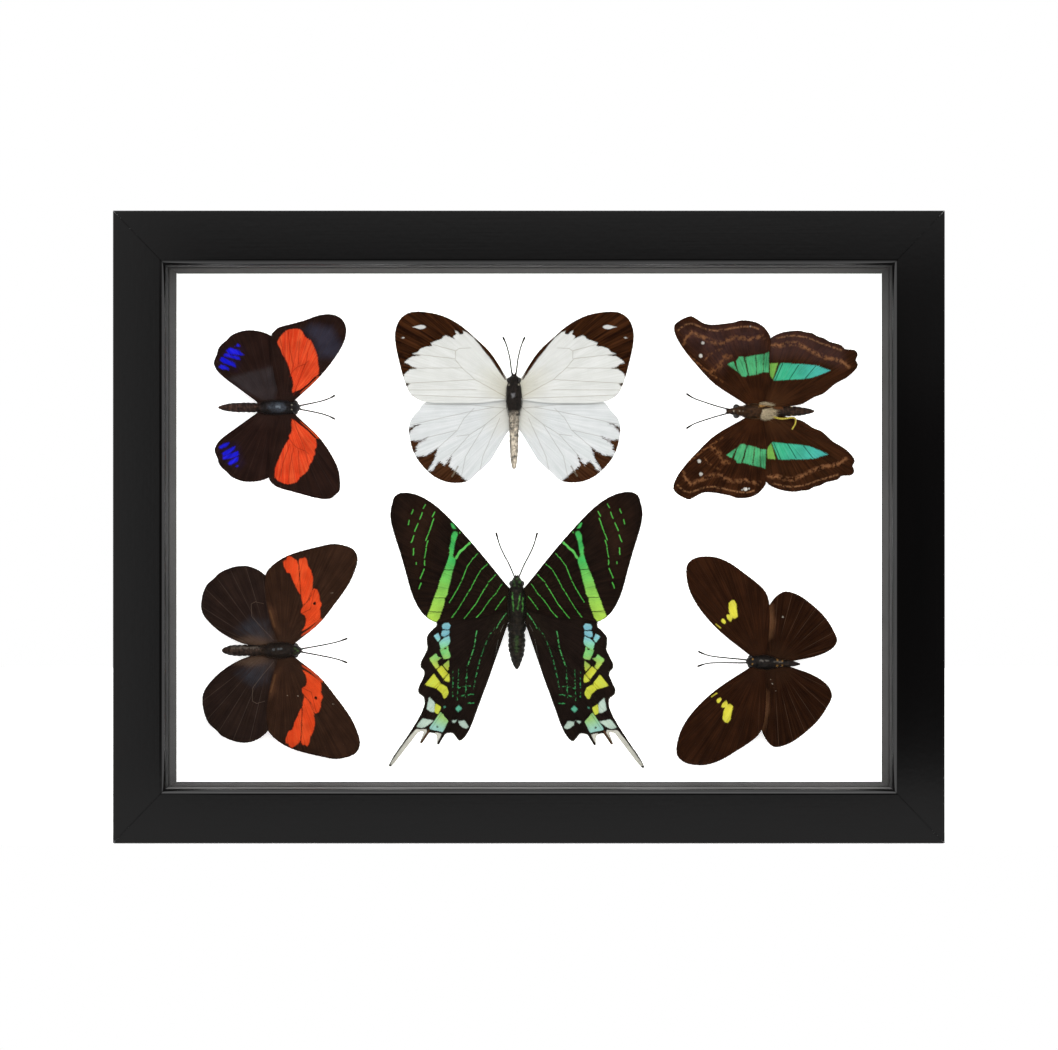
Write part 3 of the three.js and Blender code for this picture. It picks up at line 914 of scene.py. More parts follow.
class BodyFinish(Finish):
    """The skin of an insect's thorax and abdomen, with its rings, painted shade down its sides and any
    coloured areas.
    """

    def make(self, look: BodyLook) -> bpy.types.Material:
        """Write the material for a body.

        Args:
            look: Its colours and coloured areas.

        Returns:
            The finished material.
        """
        plan = self.attribute("plan", "Vector")
        along = self.attribute("along")
        mottle = self.noise(plan, 1.3, 4.0)
        fine = self.noise(self.stretched(plan, (7.0, 2.0, 7.0)), 1.0, 3.0)
        rear = ((look.waist - along) * 1.2 + (mottle - 0.5) * 1.5).clamped()
        beat = abs((along / RING_PITCH).fraction() - 0.5) * 2.0
        joint = ((0.3 - beat) * 5.0 + (mottle - 0.5) * 2.0).clamped() * ((look.waist - along) * 0.8).clamped()
        color = self.mixed(rear, lit(look.thorax), lit(look.abdomen))
        blot = self.noise(plan, 0.75, 3.0)
        spots = (blot * 0.5 + mottle * 0.5 - 0.38) * 4.5
        color = self.dimmed(color, spots.clamped(), (2.0, 1.9, 1.8, 1.0), (0.3, 0.3, 0.3, 1.0))
        color = self.mixed(joint * look.joint, color, lit((14, 10, 8)))
        # Painted light and shade: lighter along the top and underside, darker down the sides, by the angle
        # round the body.
        color = self.dimmed(color, self.attribute("flank"), (1.35, 1.3, 1.25, 1.0), (0.35, 0.35, 0.35, 1.0))
        for index, patch in enumerate(look.patches):
            edge = self.attribute(f"mark_{index}") + (mottle - 0.5) * (2 * patch.ragged)
            mask = (0.5 - edge / patch.soft).clamped() * patch.share
            color = self.mixed(mask, color, lit(patch.color))
        height = mottle * 0.5 + fine * 0.5
        return self.surface(Base_Color=color, Roughness=0.26 + fine * 0.3, Specular_IOR_Level=look.gloss,
                            Normal=self.bump(height, 0.3, 0.9))


class LimbFinish(Finish):
    """Eyes, legs, antennae and hairs: one colour with a fine mottle."""

    def make(self, color: Color, roughness: float, gloss: float) -> bpy.types.Material:
        """Write the material.

        Args:
            color: How it looks.
            roughness: How dull it is.
            gloss: Its specular level.

        Returns:
            The finished material.
        """
        mottle = self.noise(self.objects(), 3.0, 3.0)
        darker = tuple(0.6 * channel for channel in color)
        tone = self.mixed(mottle.steep(0.35, 3.0), lit(color), lit(darker))
        return self.surface(Base_Color=tone, Roughness=roughness, Specular_IOR_Level=gloss,
                            Normal=self.bump(mottle, 0.04, 0.6))


class Slot(IntEnum):
    """The material slots of a body."""

    SKIN = 0
    EYE = 1
    LIMB = 2
    HAIR = 3
    PALE_LEG = 4
    PALE_HAIR = 5


@dataclass
class BodyMaker:
    """Builds a body with its eyes, palps, antennae, legs and hair. Radii and heights are in mm."""

    insect: Insect
    level: float = 6.7
    depth_ratio: float = 1.05
    rings: int = 110
    sides: int = 48
    antenna_radius: float = 0.23
    antenna_knots: float = 0.02
    antenna_club: float = 0.12
    antenna_steps: int = 44
    palp_steps: int = 12
    leg_steps: int = 14
    leg_rows: tuple[float, ...] = (2.6, 0.2, -2.2)
    usual_half_width: float = 2.6
    hair_length: float = 1.0
    tuft_length: float = 1.4
    tuft_hairs: int = 2200
    lumps: tuple[tuple[float, float, float, float], ...] = (
        (3.6, 0.7, 0.07, 0.85), (1.2, 1.1, 0.06, 0.5), (-0.8, 0.5, -0.09, 0.1), (-2.0, 0.8, 0.06, 0.1),
        (3.0, 0.35, -0.07, 0.1), (5.0, 0.3, -0.1, 0.1), (6.0, 0.5, 0.06, 0.1))

    def half_width(self) -> tuple[np.ndarray, np.ndarray]:
        """y and half width along the body, with the abdomen pinched between its rings.

        The pinch is 0.1 |cos(pi y / pitch)|^8 of the width, behind the waist only.

        Returns:
            Array of y, and array of half widths.
        """
        look = self.insect.body
        rows = smooth_path(np.array(look.rows), self.rings)
        y, width = rows[:, 0], np.maximum(rows[:, 1], 0.05)
        behind = np.clip((look.waist - y) / 1.5, 0, 1)
        pinch = 0.1 * np.abs(np.cos(math.pi * y / RING_PITCH)) ** 8
        return y, width * (1 - behind * pinch)

    def trunk(self, skin: Skin) -> None:
        """Add head, thorax and abdomen as rings (w cos a, y, level + depth_ratio w sin a).

        Each lump is a bell in y times a bell in |cos a|, on the upper side.

        Args:
            skin: Where the rings go.
        """
        look = self.insect.body
        y, width = self.half_width()
        angle = np.linspace(0, 2 * math.pi, self.sides, endpoint=False)
        lump = 1 + 0.025 * np.sin(3 * angle + 1)[None] * np.sin(1.3 * y)[:, None]
        across = np.abs(np.cos(angle))[None]
        upper = np.sin(angle)[None] > -0.3
        for centre, spread, height, toward in self.lumps:
            bulge = np.exp(-((y - centre) / spread) ** 2)[:, None]
            lump = lump + height * bulge * np.exp(-((across - toward) / 0.3) ** 2) * upper
        ring = width[:, None] * lump
        grid = np.stack([ring * np.cos(angle), y[:, None] + 0 * ring,
                         self.level + self.depth_ratio * ring * np.sin(angle)], -1)
        ends = [np.repeat(grid[k].mean(0)[None, None], self.sides, axis=1) for k in (0, -1)]
        grid = np.concatenate([ends[0], grid, ends[1]])
        flat = grid.reshape(-1, 3)
        # Share of painted shade, from the angle round the body: 1 on the sides, 0 on top and underneath.
        flank = np.tile(np.cos(angle) ** 2, len(grid)).reshape(-1, 1)
        values = {"plan": flat, "along": flat[:, 1:2], "flank": flank}
        for index, patch in enumerate(look.patches):
            values[f"mark_{index}"] = signed_distance(flat[:, :2], patch.shapes)
        skin.grid(grid, (False, True), Slot.SKIN, values)

    def plain(self, skin: Skin, grid: np.ndarray, slot: Slot) -> None:
        """Add a part that needs no attributes of its own, with zeros in them."""
        skin.grid(grid, (False, True), slot, skin.blank(grid.shape[0] * grid.shape[1]))

    def head(self, skin: Skin) -> None:
        """Add eyes as spheres and palps as two short tubes.

        Args:
            skin: Where they go.
        """
        look = self.insect.body
        front = look.rows[0][0]
        x, y, radius = look.eye
        v = np.linspace(0, math.pi, 18)[:, None]
        u = np.linspace(0, 2 * math.pi, 28, endpoint=False)[None]
        ball = np.stack([np.sin(v) * np.cos(u), np.sin(v) * np.sin(u), np.cos(v) + 0 * u], -1)
        for side in (-1, 1):
            self.plain(skin, ball * radius + [side * x, y, self.level + 0.05], Slot.EYE)
            path = smooth_path(np.array([[0.3 * side, front - 1.0, self.level + 0.2],
                                         [0.42 * side, front - 0.1, self.level + 0.35],
                                         [0.36 * side, front + 0.45, self.level + 0.5]]), self.palp_steps)
            self.plain(skin, tube(path, np.linspace(0.32, 0.12, self.palp_steps), 10), Slot.LIMB)

    def limbs(self, skin: Skin) -> None:
        """Add antennae that swell to a club, folded legs and any trailing leg.

        Args:
            skin: Where they go.
        """
        look = self.insect.body
        share = np.linspace(0, 1, self.antenna_steps)
        knots = np.abs(np.sin(60 * share))
        club = np.exp(-((share - 0.95) / 0.07) ** 2)
        radii = self.antenna_radius + self.antenna_knots * knots + self.antenna_club * club
        leg_radii = np.linspace(0.24, 0.12, self.leg_steps)
        size = max(width for _, width in look.rows) / self.usual_half_width
        for side in (-1, 1):
            feeler = [[side * x, y, self.level + 0.4 + 0.2 * k] for k, (x, y) in enumerate(look.antenna)]
            path = smooth_path(np.array(feeler), self.antenna_steps)
            self.plain(skin, tube(path, radii, 8), Slot.LIMB)
            for y in self.leg_rows:
                leg = [[1.1, y, -1.2], [2.2, y + 0.7, -2.5], [2.1, y - 1.2, -3.3]]
                path = np.array([[side * a * size, b * size, self.level + c] for a, b, c in leg])
                self.plain(skin, tube(smooth_path(path, self.leg_steps), leg_radii, 7), Slot.LIMB)
        if look.trailing_leg:
            path = smooth_path(np.array(look.trailing_leg) + [0, 0, self.level], 30)
            self.plain(skin, tube(path, 0.38 - 0.14 * np.linspace(0, 1, 30), 8), Slot.PALE_LEG)

    def hair(self, skin: Skin, slot: Slot, count: int, region: Callable[[np.ndarray], np.ndarray],
             length: float, seed: int) -> None:
        """Add short bent hairs that stand on the upper half of the thorax.

        A hair is three rings of three points: root at the surface, middle half way out, and tip
        swept back. All hairs are worked out together as one array.

        Args:
            skin: Where the hairs go.
            slot: Their material slot.
            count: How many are tried.
            region: Says which roots are kept, from their x and y.
            length: Usual length in mm.
            seed: Start of the random numbers.
        """
        rng = np.random.default_rng(seed)
        y_all, width_all = self.half_width()
        y = rng.uniform(self.insect.body.waist - 1.5, 7.2, count)
        angle = rng.uniform(-0.15, math.pi + 0.15, count)
        bend = rng.normal(0, 0.35, (count, 3))
        size = length * rng.uniform(0.6, 1.2, count)
        width = np.interp(-y, -y_all, width_all)
        out = np.stack([np.cos(angle), 0 * y, self.depth_ratio * np.sin(angle)], -1)
        base = np.stack([width * out[:, 0], y, self.level + width * out[:, 2]], -1) - 0.1 * out
        keep = region(base[:, :2])
        out, base, bend, size = out[keep], base[keep], bend[keep], size[keep, None]
        back = np.array([0.0, -1.0, 0.0])
        middle = base + size * 0.5 * (0.6 * out + 0.6 * back + 0.3 * bend)
        tip = base + size * (0.4 * out + 1.1 * back + 0.5 * bend)
        line = np.stack([base, middle, tip], 1)
        flat = np.cross(tip - base, [0.3, 0.2, 1.0])
        flat /= np.linalg.norm(flat, axis=1, keepdims=True)
        other = np.cross(flat, tip - base) / np.linalg.norm(tip - base, axis=1, keepdims=True)
        turn = np.arange(3) * 2 * math.pi / 3
        ring = np.cos(turn)[None, :, None] * flat[:, None] + np.sin(turn)[None, :, None] * other[:, None]
        thick = np.array([0.04, 0.03, 0.006])[None, :, None, None]
        points = line[:, :, None] + thick * ring[:, None]
        step = np.arange(3)
        after = (step + 1) % 3
        side = [np.stack([3 * k + step, 3 * k + after, 3 * k + 3 + after], -1) for k in (0, 1)]
        side += [np.stack([3 * k + step, 3 * k + 3 + after, 3 * k + 3 + step], -1) for k in (0, 1)]
        shape = np.concatenate(side + [np.array([[0, 2, 1], [6, 7, 8]])])
        faces = (shape[None] + 9 * np.arange(len(points))[:, None, None]).reshape(-1, 3)
        skin.triangles(points.reshape(-1, 3), faces, slot, skin.blank(9 * len(points)))

    def build(self) -> Any:
        """Build the whole body and return its object.

        Returns:
            The new object.
        """
        look, name = self.insect.body, self.insect.name
        skin = Skin()
        self.trunk(skin)
        self.head(skin)
        self.limbs(skin)
        self.hair(skin, Slot.HAIR, look.hairs, lambda root: np.ones(len(root), bool), self.hair_length, 11)
        if look.tuft:
            self.hair(skin, Slot.PALE_HAIR, self.tuft_hairs,
                      lambda root: signed_distance(root, look.tuft) < 0, self.tuft_length, 12)
        plain = {Slot.EYE: (look.eye_color, 0.15, 0.5), Slot.LIMB: (look.limb, 0.5, 0.1),
                 Slot.HAIR: (look.hair, 0.6, 0.03), Slot.PALE_LEG: ((226, 206, 84), 0.5, 0.1),
                 Slot.PALE_HAIR: ((246, 226, 186), 0.6, 0.03)}
        materials = [BodyFinish(f"{name}_body_skin").make(look)]
        for slot, finish in plain.items():
            materials.append(LimbFinish(f"{name}_{slot.name.lower()}").make(*finish))
        made = skin.build(f"{name}_body_detailed", self.insect.place, materials)
        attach(made, "root")
        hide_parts(f"{name}_body")
        return made


# The case


class CaseFinish(Finish):
    """The materials of the frame and of what it holds, apart from the insects."""

    def rise(self) -> Value:
        """The upward part of the surface's direction, which sets where light from above is painted."""
        normal = Value(self, self.node("NewGeometry").outputs["Normal"])
        return Value(self, self.node("SeparateXYZ", {}, {0: normal}).outputs["Z"])

    def lacquer(self) -> bpy.types.Material:
        """Black gloss lacquer over wood, faintly brushed along its length, with painted light on the upward
        inner edge.

        u runs inward and is 0 at the sight edge, and v runs back from the face, both in mm. More than 0.95 mm
        behind the face and within 7.5 mm of the sight edge it is dull, and upward surfaces there are painted
        pale grey as light from above.

        Returns:
            The finished material.
        """
        run = self.attribute("run", "Vector")
        split = self.node("SeparateXYZ", {}, {0: run})
        u, v = Value(self, split.outputs["X"]), Value(self, split.outputs["Z"])
        brushed = self.noise(self.stretched(run, (1.6, 0.035, 1.6)), 1.0, 4.0)
        peel = self.noise(self.objects(), 0.55, 2.0)
        cloud = self.noise(self.stretched(run, (0.12, 0.012, 0.12)), 1.0, 2.0)
        color = self.mixed(cloud, paint((2, 2, 2)), paint((5, 4, 4)))
        dull = v.steep(0.95, 4.0) * u.steep(-7.5, 2.0)
        # Painted light: the dull inner edge is painted pale grey where it faces up, as if lit from above.
        color = self.mixed(dull * self.rise().steep(0.6, 3.0), color, paint((78, 77, 76)))
        return self.surface(Base_Color=color, Roughness=dull * 0.8 + 0.08, IOR=1.5,
                            Normal=self.bump(brushed * 0.35 + peel * 0.65, 0.02, 0.3))

    def strip(self) -> bpy.types.Material:
        """Grey paper on the spacer strips, a little fibrous.

        Returns:
            The finished material.
        """
        place = self.objects()
        fibre = self.noise(self.stretched(place, (1.4, 5.0, 1.4)), 1.0, 4.0)
        cloud = self.noise(place, 0.05, 2.0)
        color = self.mixed((fibre * 0.5 + cloud * 0.5).clamped(), paint((51, 49, 48)), paint((60, 59, 58)))
        return self.surface(Base_Color=color, Roughness=0.85, Specular_IOR_Level=0.1,
                            Normal=self.bump(fibre, 0.05, 0.6))

    def card(self) -> bpy.types.Material:
        """White card with a fine tooth and a faint glow, so that it shows as pure white.

        Returns:
            The finished material.
        """
        place = self.objects()
        tooth = self.noise(place, 3.0, 4.0)
        color = self.mixed(tooth, paint((250, 250, 248)), paint((255, 255, 254)))
        return self.surface(Base_Color=color, Roughness=0.9, Specular_IOR_Level=0.1,
                            Emission_Color=color, Emission_Strength=0.75,
                            Normal=self.bump(tooth, 0.03, 0.3))

    def hardboard(self) -> bpy.types.Material:
        """Brown pressed fibre with dark and pale flecks.

        Returns:
            The finished material.
        """
        place = self.objects()
        fibre = self.noise(self.stretched(place, (0.9, 2.0, 2.2)), 1.0, 6.0)
        fleck = self.noise(place, 2.4, 3.0)
        color = self.mixed(fibre.steep(0.3, 2.4), paint((74, 50, 32)), paint((112, 80, 53)))
        color = self.mixed(fleck.steep(0.62, 8.0) * 0.6, color, paint((138, 108, 76)))
        return self.surface(Base_Color=color, Roughness=0.7 + fleck * 0.2, Specular_IOR_Level=0.3,
                            Normal=self.bump(fibre * 0.6 + fleck * 0.4, 0.15, 0.6))

    def zinc(self) -> bpy.types.Material:
        """Zinc plate with rolling marks and a cloudy bloom.

        Returns:
            The finished material.
        """
        place = self.objects()
        rolled = self.noise(self.stretched(place, (0.4, 6.0, 6.0)), 1.0, 3.0)
        bloom = self.noise(place, 0.35, 3.0)
        color = self.mixed(bloom, paint((120, 122, 124)), paint((148, 149, 150)))
        return self.surface(Base_Color=color, Metallic=1.0, Roughness=0.28 + bloom * 0.25,
                            Normal=self.bump(rolled, 0.03, 0.5))

    def foam(self) -> bpy.types.Material:
        """White closed-cell foam.

        Returns:
            The finished material.
        """
        bubbles = self.node("TexVoronoi", {"feature": "F1"}, {"Vector": self.objects(), "Scale": 2.2})
        pit = Value(self, bubbles.outputs["Distance"]).clamped()
        color = self.mixed(pit, paint((236, 234, 226)), paint((250, 249, 244)))
        return self.surface(Base_Color=color, Roughness=0.9, Specular_IOR_Level=0.2,
                            Normal=self.bump(pit, 0.2, 0.6))

    def pane(self) -> bpy.types.Material:
        """Clear glass: see-through, with a mirror share that grows with the angle by Fresnel.

        Returns:
            The finished material.
        """
        normal = self.bump(self.noise(self.objects(), 0.02, 1.0), 0.05, 0.2)
        fresnel = Value(self, self.node("Fresnel", {}, {"IOR": 1.5}).outputs[0])
        inside = Value(self, self.node("NewGeometry").outputs["Backfacing"])
        mirror = fresnel * (1.0 - inside)
        clear = self.node("BsdfTransparent", {}, {"Color": WHITE})
        gloss = self.node("BsdfGlossy", {}, {"Color": WHITE, "Roughness": 0.02, "Normal": normal})
        glass = self.node("MixShader", {}, {0: mirror, 1: Value(self, clear.outputs[0]),
                                            2: Value(self, gloss.outputs[0])})
        return self.output(glass.outputs[0])


@dataclass
class Case:
    """The frame's mouldings and the sheets inside it. Sizes in mm, as in the solid model."""

    width: float = 280.0
    height: float = 213.0
    depth: float = 34.0
    stile: float = 17.7
    rail: float = 18.4
    lip: float = 6.0
    rabbet: float = 6.0
    outer_round: float = 0.2
    nose_round: float = 1.9
    back_round: float = 0.35
    edge_break: float = 0.06
    joint: float = 0.03
    guard: float = 0.25

    def profile(self, width: float) -> np.ndarray:
        """A moulding's outline: u inward from the outer side, v back from the face.

        Rounds are arcs centre + r (cos a, sin a); the rest is straight, with a guard point close to each
        round so that the flats shade flat.

        Args:
            width: How wide the moulding is.

        Returns:
            Points as an array of rows of u and v.
        """
        def arc(u: float, v: float, radius: float, start: float, end: float, count: int) -> np.ndarray:
            """Points of an arc between two angles in degrees."""
            angle = np.radians(np.linspace(start, end, count))
            return np.stack([u + radius * np.cos(angle), v + radius * np.sin(angle)], -1)

        inner, soft, guard = width - self.rabbet, self.back_round, self.guard
        outer, nose = self.outer_round, self.nose_round
        return np.concatenate([
            arc(soft, self.depth - soft, soft, 90, 180, 5),
            np.array([[0, self.depth - soft - guard], [0, outer + guard]]),
            arc(outer, outer, outer, 180, 270, 12),
            np.array([[outer + guard, 0], [width - nose - guard, 0]]),
            arc(width - nose, nose, nose, 270, 360, 20),
            np.array([[width, nose + guard], [width, self.lip], [inner, self.lip], [inner, self.depth]]),
        ])

    def moulding(self, name: str, length: float, width: float, neighbour: float, corner: Point,
                 turn: float, material: bpy.types.Material) -> Any:
        """Build one length of moulding with broken edges at its mitres.

        Station k is the profile at w = w0(u) + share_k (w1(u) - w0(u)), where w0 = u neighbour / width +
        joint and w1 = length - w0. The first and last station are pulled in by the edge break.

        Args:
            name: The CAD node that it replaces.
            length: Its outer length.
            width: Its width across the face.
            neighbour: The width of the mouldings that it meets.
            corner: x and z of its outer corner in the row frame.
            turn: Its turn about Y, in degrees.
            material: The lacquer.

        Returns:
            The new object.
        """
        full = self.profile(width)
        tangent = np.roll(full, -1, axis=0) - np.roll(full, 1, axis=0)
        normal = np.stack([-tangent[:, 1], tangent[:, 0]], -1)
        normal /= np.linalg.norm(normal, axis=1, keepdims=True)
        inset = full + normal * self.edge_break
        shares = np.linspace(0, 1, 13)
        stations = []
        for section, offset in [(inset, self.joint), (full, self.joint + self.edge_break)]:
            near = section[:, 0] * neighbour / width + offset
            stations.append((section, near, length - near))
        (tight, t0, t1), (open_, o0, o1) = stations
        rows = [(tight, t0)] + [(open_, o0 + share * (o1 - o0)) for share in shares] + [(tight, t1)]
        grid = np.stack([np.column_stack([section, w]) for section, w in rows])
        count, size = grid.shape[:2]
        index = np.arange(count * size).reshape(count, size)
        after = np.roll(index, -1, axis=1)
        a, b, c, d = index[:-1], after[:-1], after[1:], index[1:]
        walls = cells(a, b, c, d)
        cap = np.array(tessellate_polygon([[Vector((u, v, 0)) for u, v in tight]]))
        corners = tight[cap]
        area = np.cross(corners[:, 1] - corners[:, 0], corners[:, 2] - corners[:, 0])
        around = np.cross(tight, np.roll(tight, -1, axis=0)).sum()
        cap[area * around < 0] = cap[area * around < 0][:, ::-1]
        faces = np.concatenate([walls, cap[:, ::-1], cap + (count - 1) * size])
        skin = Skin()
        points = grid.reshape(-1, 3)
        skin.triangles(points, faces, values={"run": points[:, [0, 2, 1]] - [width, 0.0, 0.0]})
        angle = math.radians(turn)

        def place(local: np.ndarray) -> np.ndarray:
            """Turn about Y, then move to the corner.

            Args:
                local: Array of points by 3, in mm.

            Returns:
                Array of the same shape, in metres.
            """
            x = corner[0] + local[:, 0] * math.cos(angle) + local[:, 2] * math.sin(angle)
            z = corner[1] - local[:, 0] * math.sin(angle) + local[:, 2] * math.cos(angle)
            return np.stack([x, local[:, 1] - self.depth / 2, z], -1) * MM

        made = skin.build(f"{name}_lacquered", place, [material], sharp=0.75)
        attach(made, "root")
        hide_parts(name)
        return made

    def build(self) -> None:
        """Build the mouldings and give every CAD node of the case its finish."""
        lacquer = CaseFinish("black_lacquer").lacquer()
        half = self.width / 2
        tall = (self.height, self.stile, self.rail)
        wide = (self.width, self.rail, self.stile)
        self.moulding("frame_stile_left", *tall, (-half, 0.0), 0.0, lacquer)
        self.moulding("frame_rail_top", *wide, (-half, self.height), 90.0, lacquer)
        self.moulding("frame_stile_right", *tall, (half, self.height), 180.0, lacquer)
        self.moulding("frame_rail_bottom", *wide, (half, 0.0), -90.0, lacquer)
        LOG.info("mouldings built")
        finishes = {
            "spacer_": CaseFinish("grey_strip").strip(),
            "mount_board": CaseFinish("white_card").card(),
            "back_panel": CaseFinish("hardboard").hardboard(),
            "hanger": CaseFinish("zinc_plate").zinc(),
            "glass": CaseFinish("clear_pane").pane(),
        }
        foam = CaseFinish("white_foam").foam()
        for name, node in frame["nodes"].items():
            material = next((made for start, made in finishes.items() if name.startswith(start)), None)
            material = foam if name.endswith("_pad") else material
            if material is not None:
                self.dress(node, material)
                LOG.info("%s dressed with %s", name, material.name)

    @staticmethod
    def dress(node: Any, material: bpy.types.Material) -> None:
        """Put a material in every slot of a CAD node."""
        for slot in node.material_slots:
            slot.material = material


# Camera, light and floor


class Sky(Finish):
    """The studio as its light falls on the part: bright, but dark behind the photographer."""

    def __init__(self, name: str) -> None:
        """Start an empty world called name.

        Args:
            name: The world's name.
        """
        self.material = bpy.data.worlds.new(name)
        self.material.use_nodes = True
        self.material.node_tree.nodes.clear()

    def glow(self, x: Value, z: Value) -> Value:
        """Radiance close round the camera, where the flat faces of the frame mirror it.

        It is dim in the middle, where the glass mirrors it, and rises outward from there. To the right
        it stays nearly black over a middle stretch.

        Args:
            x: The direction's part to the right.
            z: Its upward part.

        Returns:
            The strength of the light from there.
        """
        edge = 80.0
        left = x.steep(-0.135, -edge) * (0.3 + (-0.154 - x) * 6.0)
        top = z.steep(0.104, edge) * (0.17 + (z - 0.118) * 9.0)
        low = z.steep(-0.086, -edge) * 0.46
        shade = abs(z + 0.005).steep(0.054, 30.0)
        right = x.steep(0.13, edge) * (0.01 + shade * 0.09 + x.steep(0.158, 50.0) * 0.07)
        return left.most(top).most(low).most(right).most(0.03)

    def make(self, bright: float) -> bpy.types.World:
        """Write the world.

        Args:
            bright: Strength of the light from all sides but the camera's.

        Returns:
            The finished world, which shows as plain white behind the part.
        """
        direction = Value(self, self.node("TexCoord").outputs["Generated"])
        split = self.node("SeparateXYZ", {}, {0: direction})
        x, y, z = (Value(self, split.outputs[key]) for key in "XYZ")
        around = ((y + 0.9) / 0.13).clamped()
        strength = self.glow(x, z) * (1.0 - around) + around * bright
        light = self.node("Background", {}, {"Color": WHITE, "Strength": strength})
        backdrop = self.node("Background", {}, {"Color": WHITE, "Strength": 1.0})
        seen = Value(self, self.node("LightPath").outputs["Is Camera Ray"])
        shown = self.node("MixShader", {}, {0: seen, 1: Value(self, light.outputs[0]),
                                            2: Value(self, backdrop.outputs[0])})
        self.node("OutputWorld", {}, {"Surface": Value(self, shown.outputs[0])})
        return self.material


@dataclass
class Studio:
    """Camera, light and floor. The camera's place is in mm, the rest in metres and watts."""

    eye: tuple[float, float, float] = (3.5, -817.0, 98.0)
    lens: float = 80.89
    sensor: float = 36.0
    shift: Point = (-0.0097, 0.0257)
    bright: float = 1.5
    floor: tuple[float, float, float] = (0.9, -0.018, 1.2)
    lamp_size: float = 0.55
    lamps: tuple[tuple[str, float, float, float, float], ...] = (
        ("softbox_left", -0.95, -1.42, 0.3, 2.4), ("softbox_right", 0.95, -1.42, 0.3, 6.4),
        ("softbox_top", 0.0, -1.38, 1.1, 5.6), ("softbox_low", 0.0, -1.42, -0.75, 1.5))

    def camera(self) -> None:
        """Set the camera at the photograph's place, level and looking along +Y."""
        data = bpy.data.cameras.new("photo_camera")
        data.sensor_width = self.sensor
        data.lens = self.lens
        data.shift_x, data.shift_y = self.shift
        data.clip_end = 50.0
        made = bpy.data.objects.new("photo_camera", data)
        made.location = Vector(self.eye) * MM
        made.rotation_euler = (math.pi / 2, 0.0, 0.0)
        bpy.context.scene.collection.objects.link(made)
        bpy.context.scene.camera = made

    def world(self) -> None:
        """Light from all round, with plain white as a backdrop."""
        bpy.context.scene.world = Sky("studio").make(self.bright)

    def lamp(self, name: str, at: Vector, power: float) -> None:
        """Add a square soft light that faces the middle of the frame.

        It isn't mirrored in the lacquer, which reflects the bright studio round it instead.

        Args:
            name: The lamp's name.
            at: Where it stands.
            power: How strong it is.
        """
        data = bpy.data.lights.new(name, "AREA")
        data.size = self.lamp_size
        data.energy = power
        made = bpy.data.objects.new(name, data)
        made.location = at
        made.visible_glossy = False
        made.rotation_euler = (Vector((0.0, 0.0, 0.1)) - at).to_track_quat("-Z", "Y").to_euler()
        bpy.context.scene.collection.objects.link(made)

    def ground(self) -> None:
        """Add a plain pale floor under the frame."""
        side, front, rear = self.floor
        corners = np.array([[-side, front, 0], [side, front, 0], [side, rear, 0], [-side, rear, 0]])
        mesh = bpy.data.meshes.new("floor")
        mesh.from_pydata((corners - [0, 0, 0.0002]).tolist(), [], [(0, 1, 2, 3)])
        made = bpy.data.objects.new("floor", mesh)
        bpy.context.scene.collection.objects.link(made)
        mesh.materials.append(Finish("pale_floor").surface(
            Base_Color=(0.9, 0.9, 0.9, 1.0), Roughness=0.9, Emission_Color=WHITE, Emission_Strength=0.6))

    def build(self) -> None:
        """Set up everything round the part."""
        self.camera()
        self.world()
        for name, *at, power in self.lamps:
            self.lamp(name, Vector(at), power)
        self.ground()
        bpy.context.scene.view_settings.view_transform = "Standard"


# The six insects

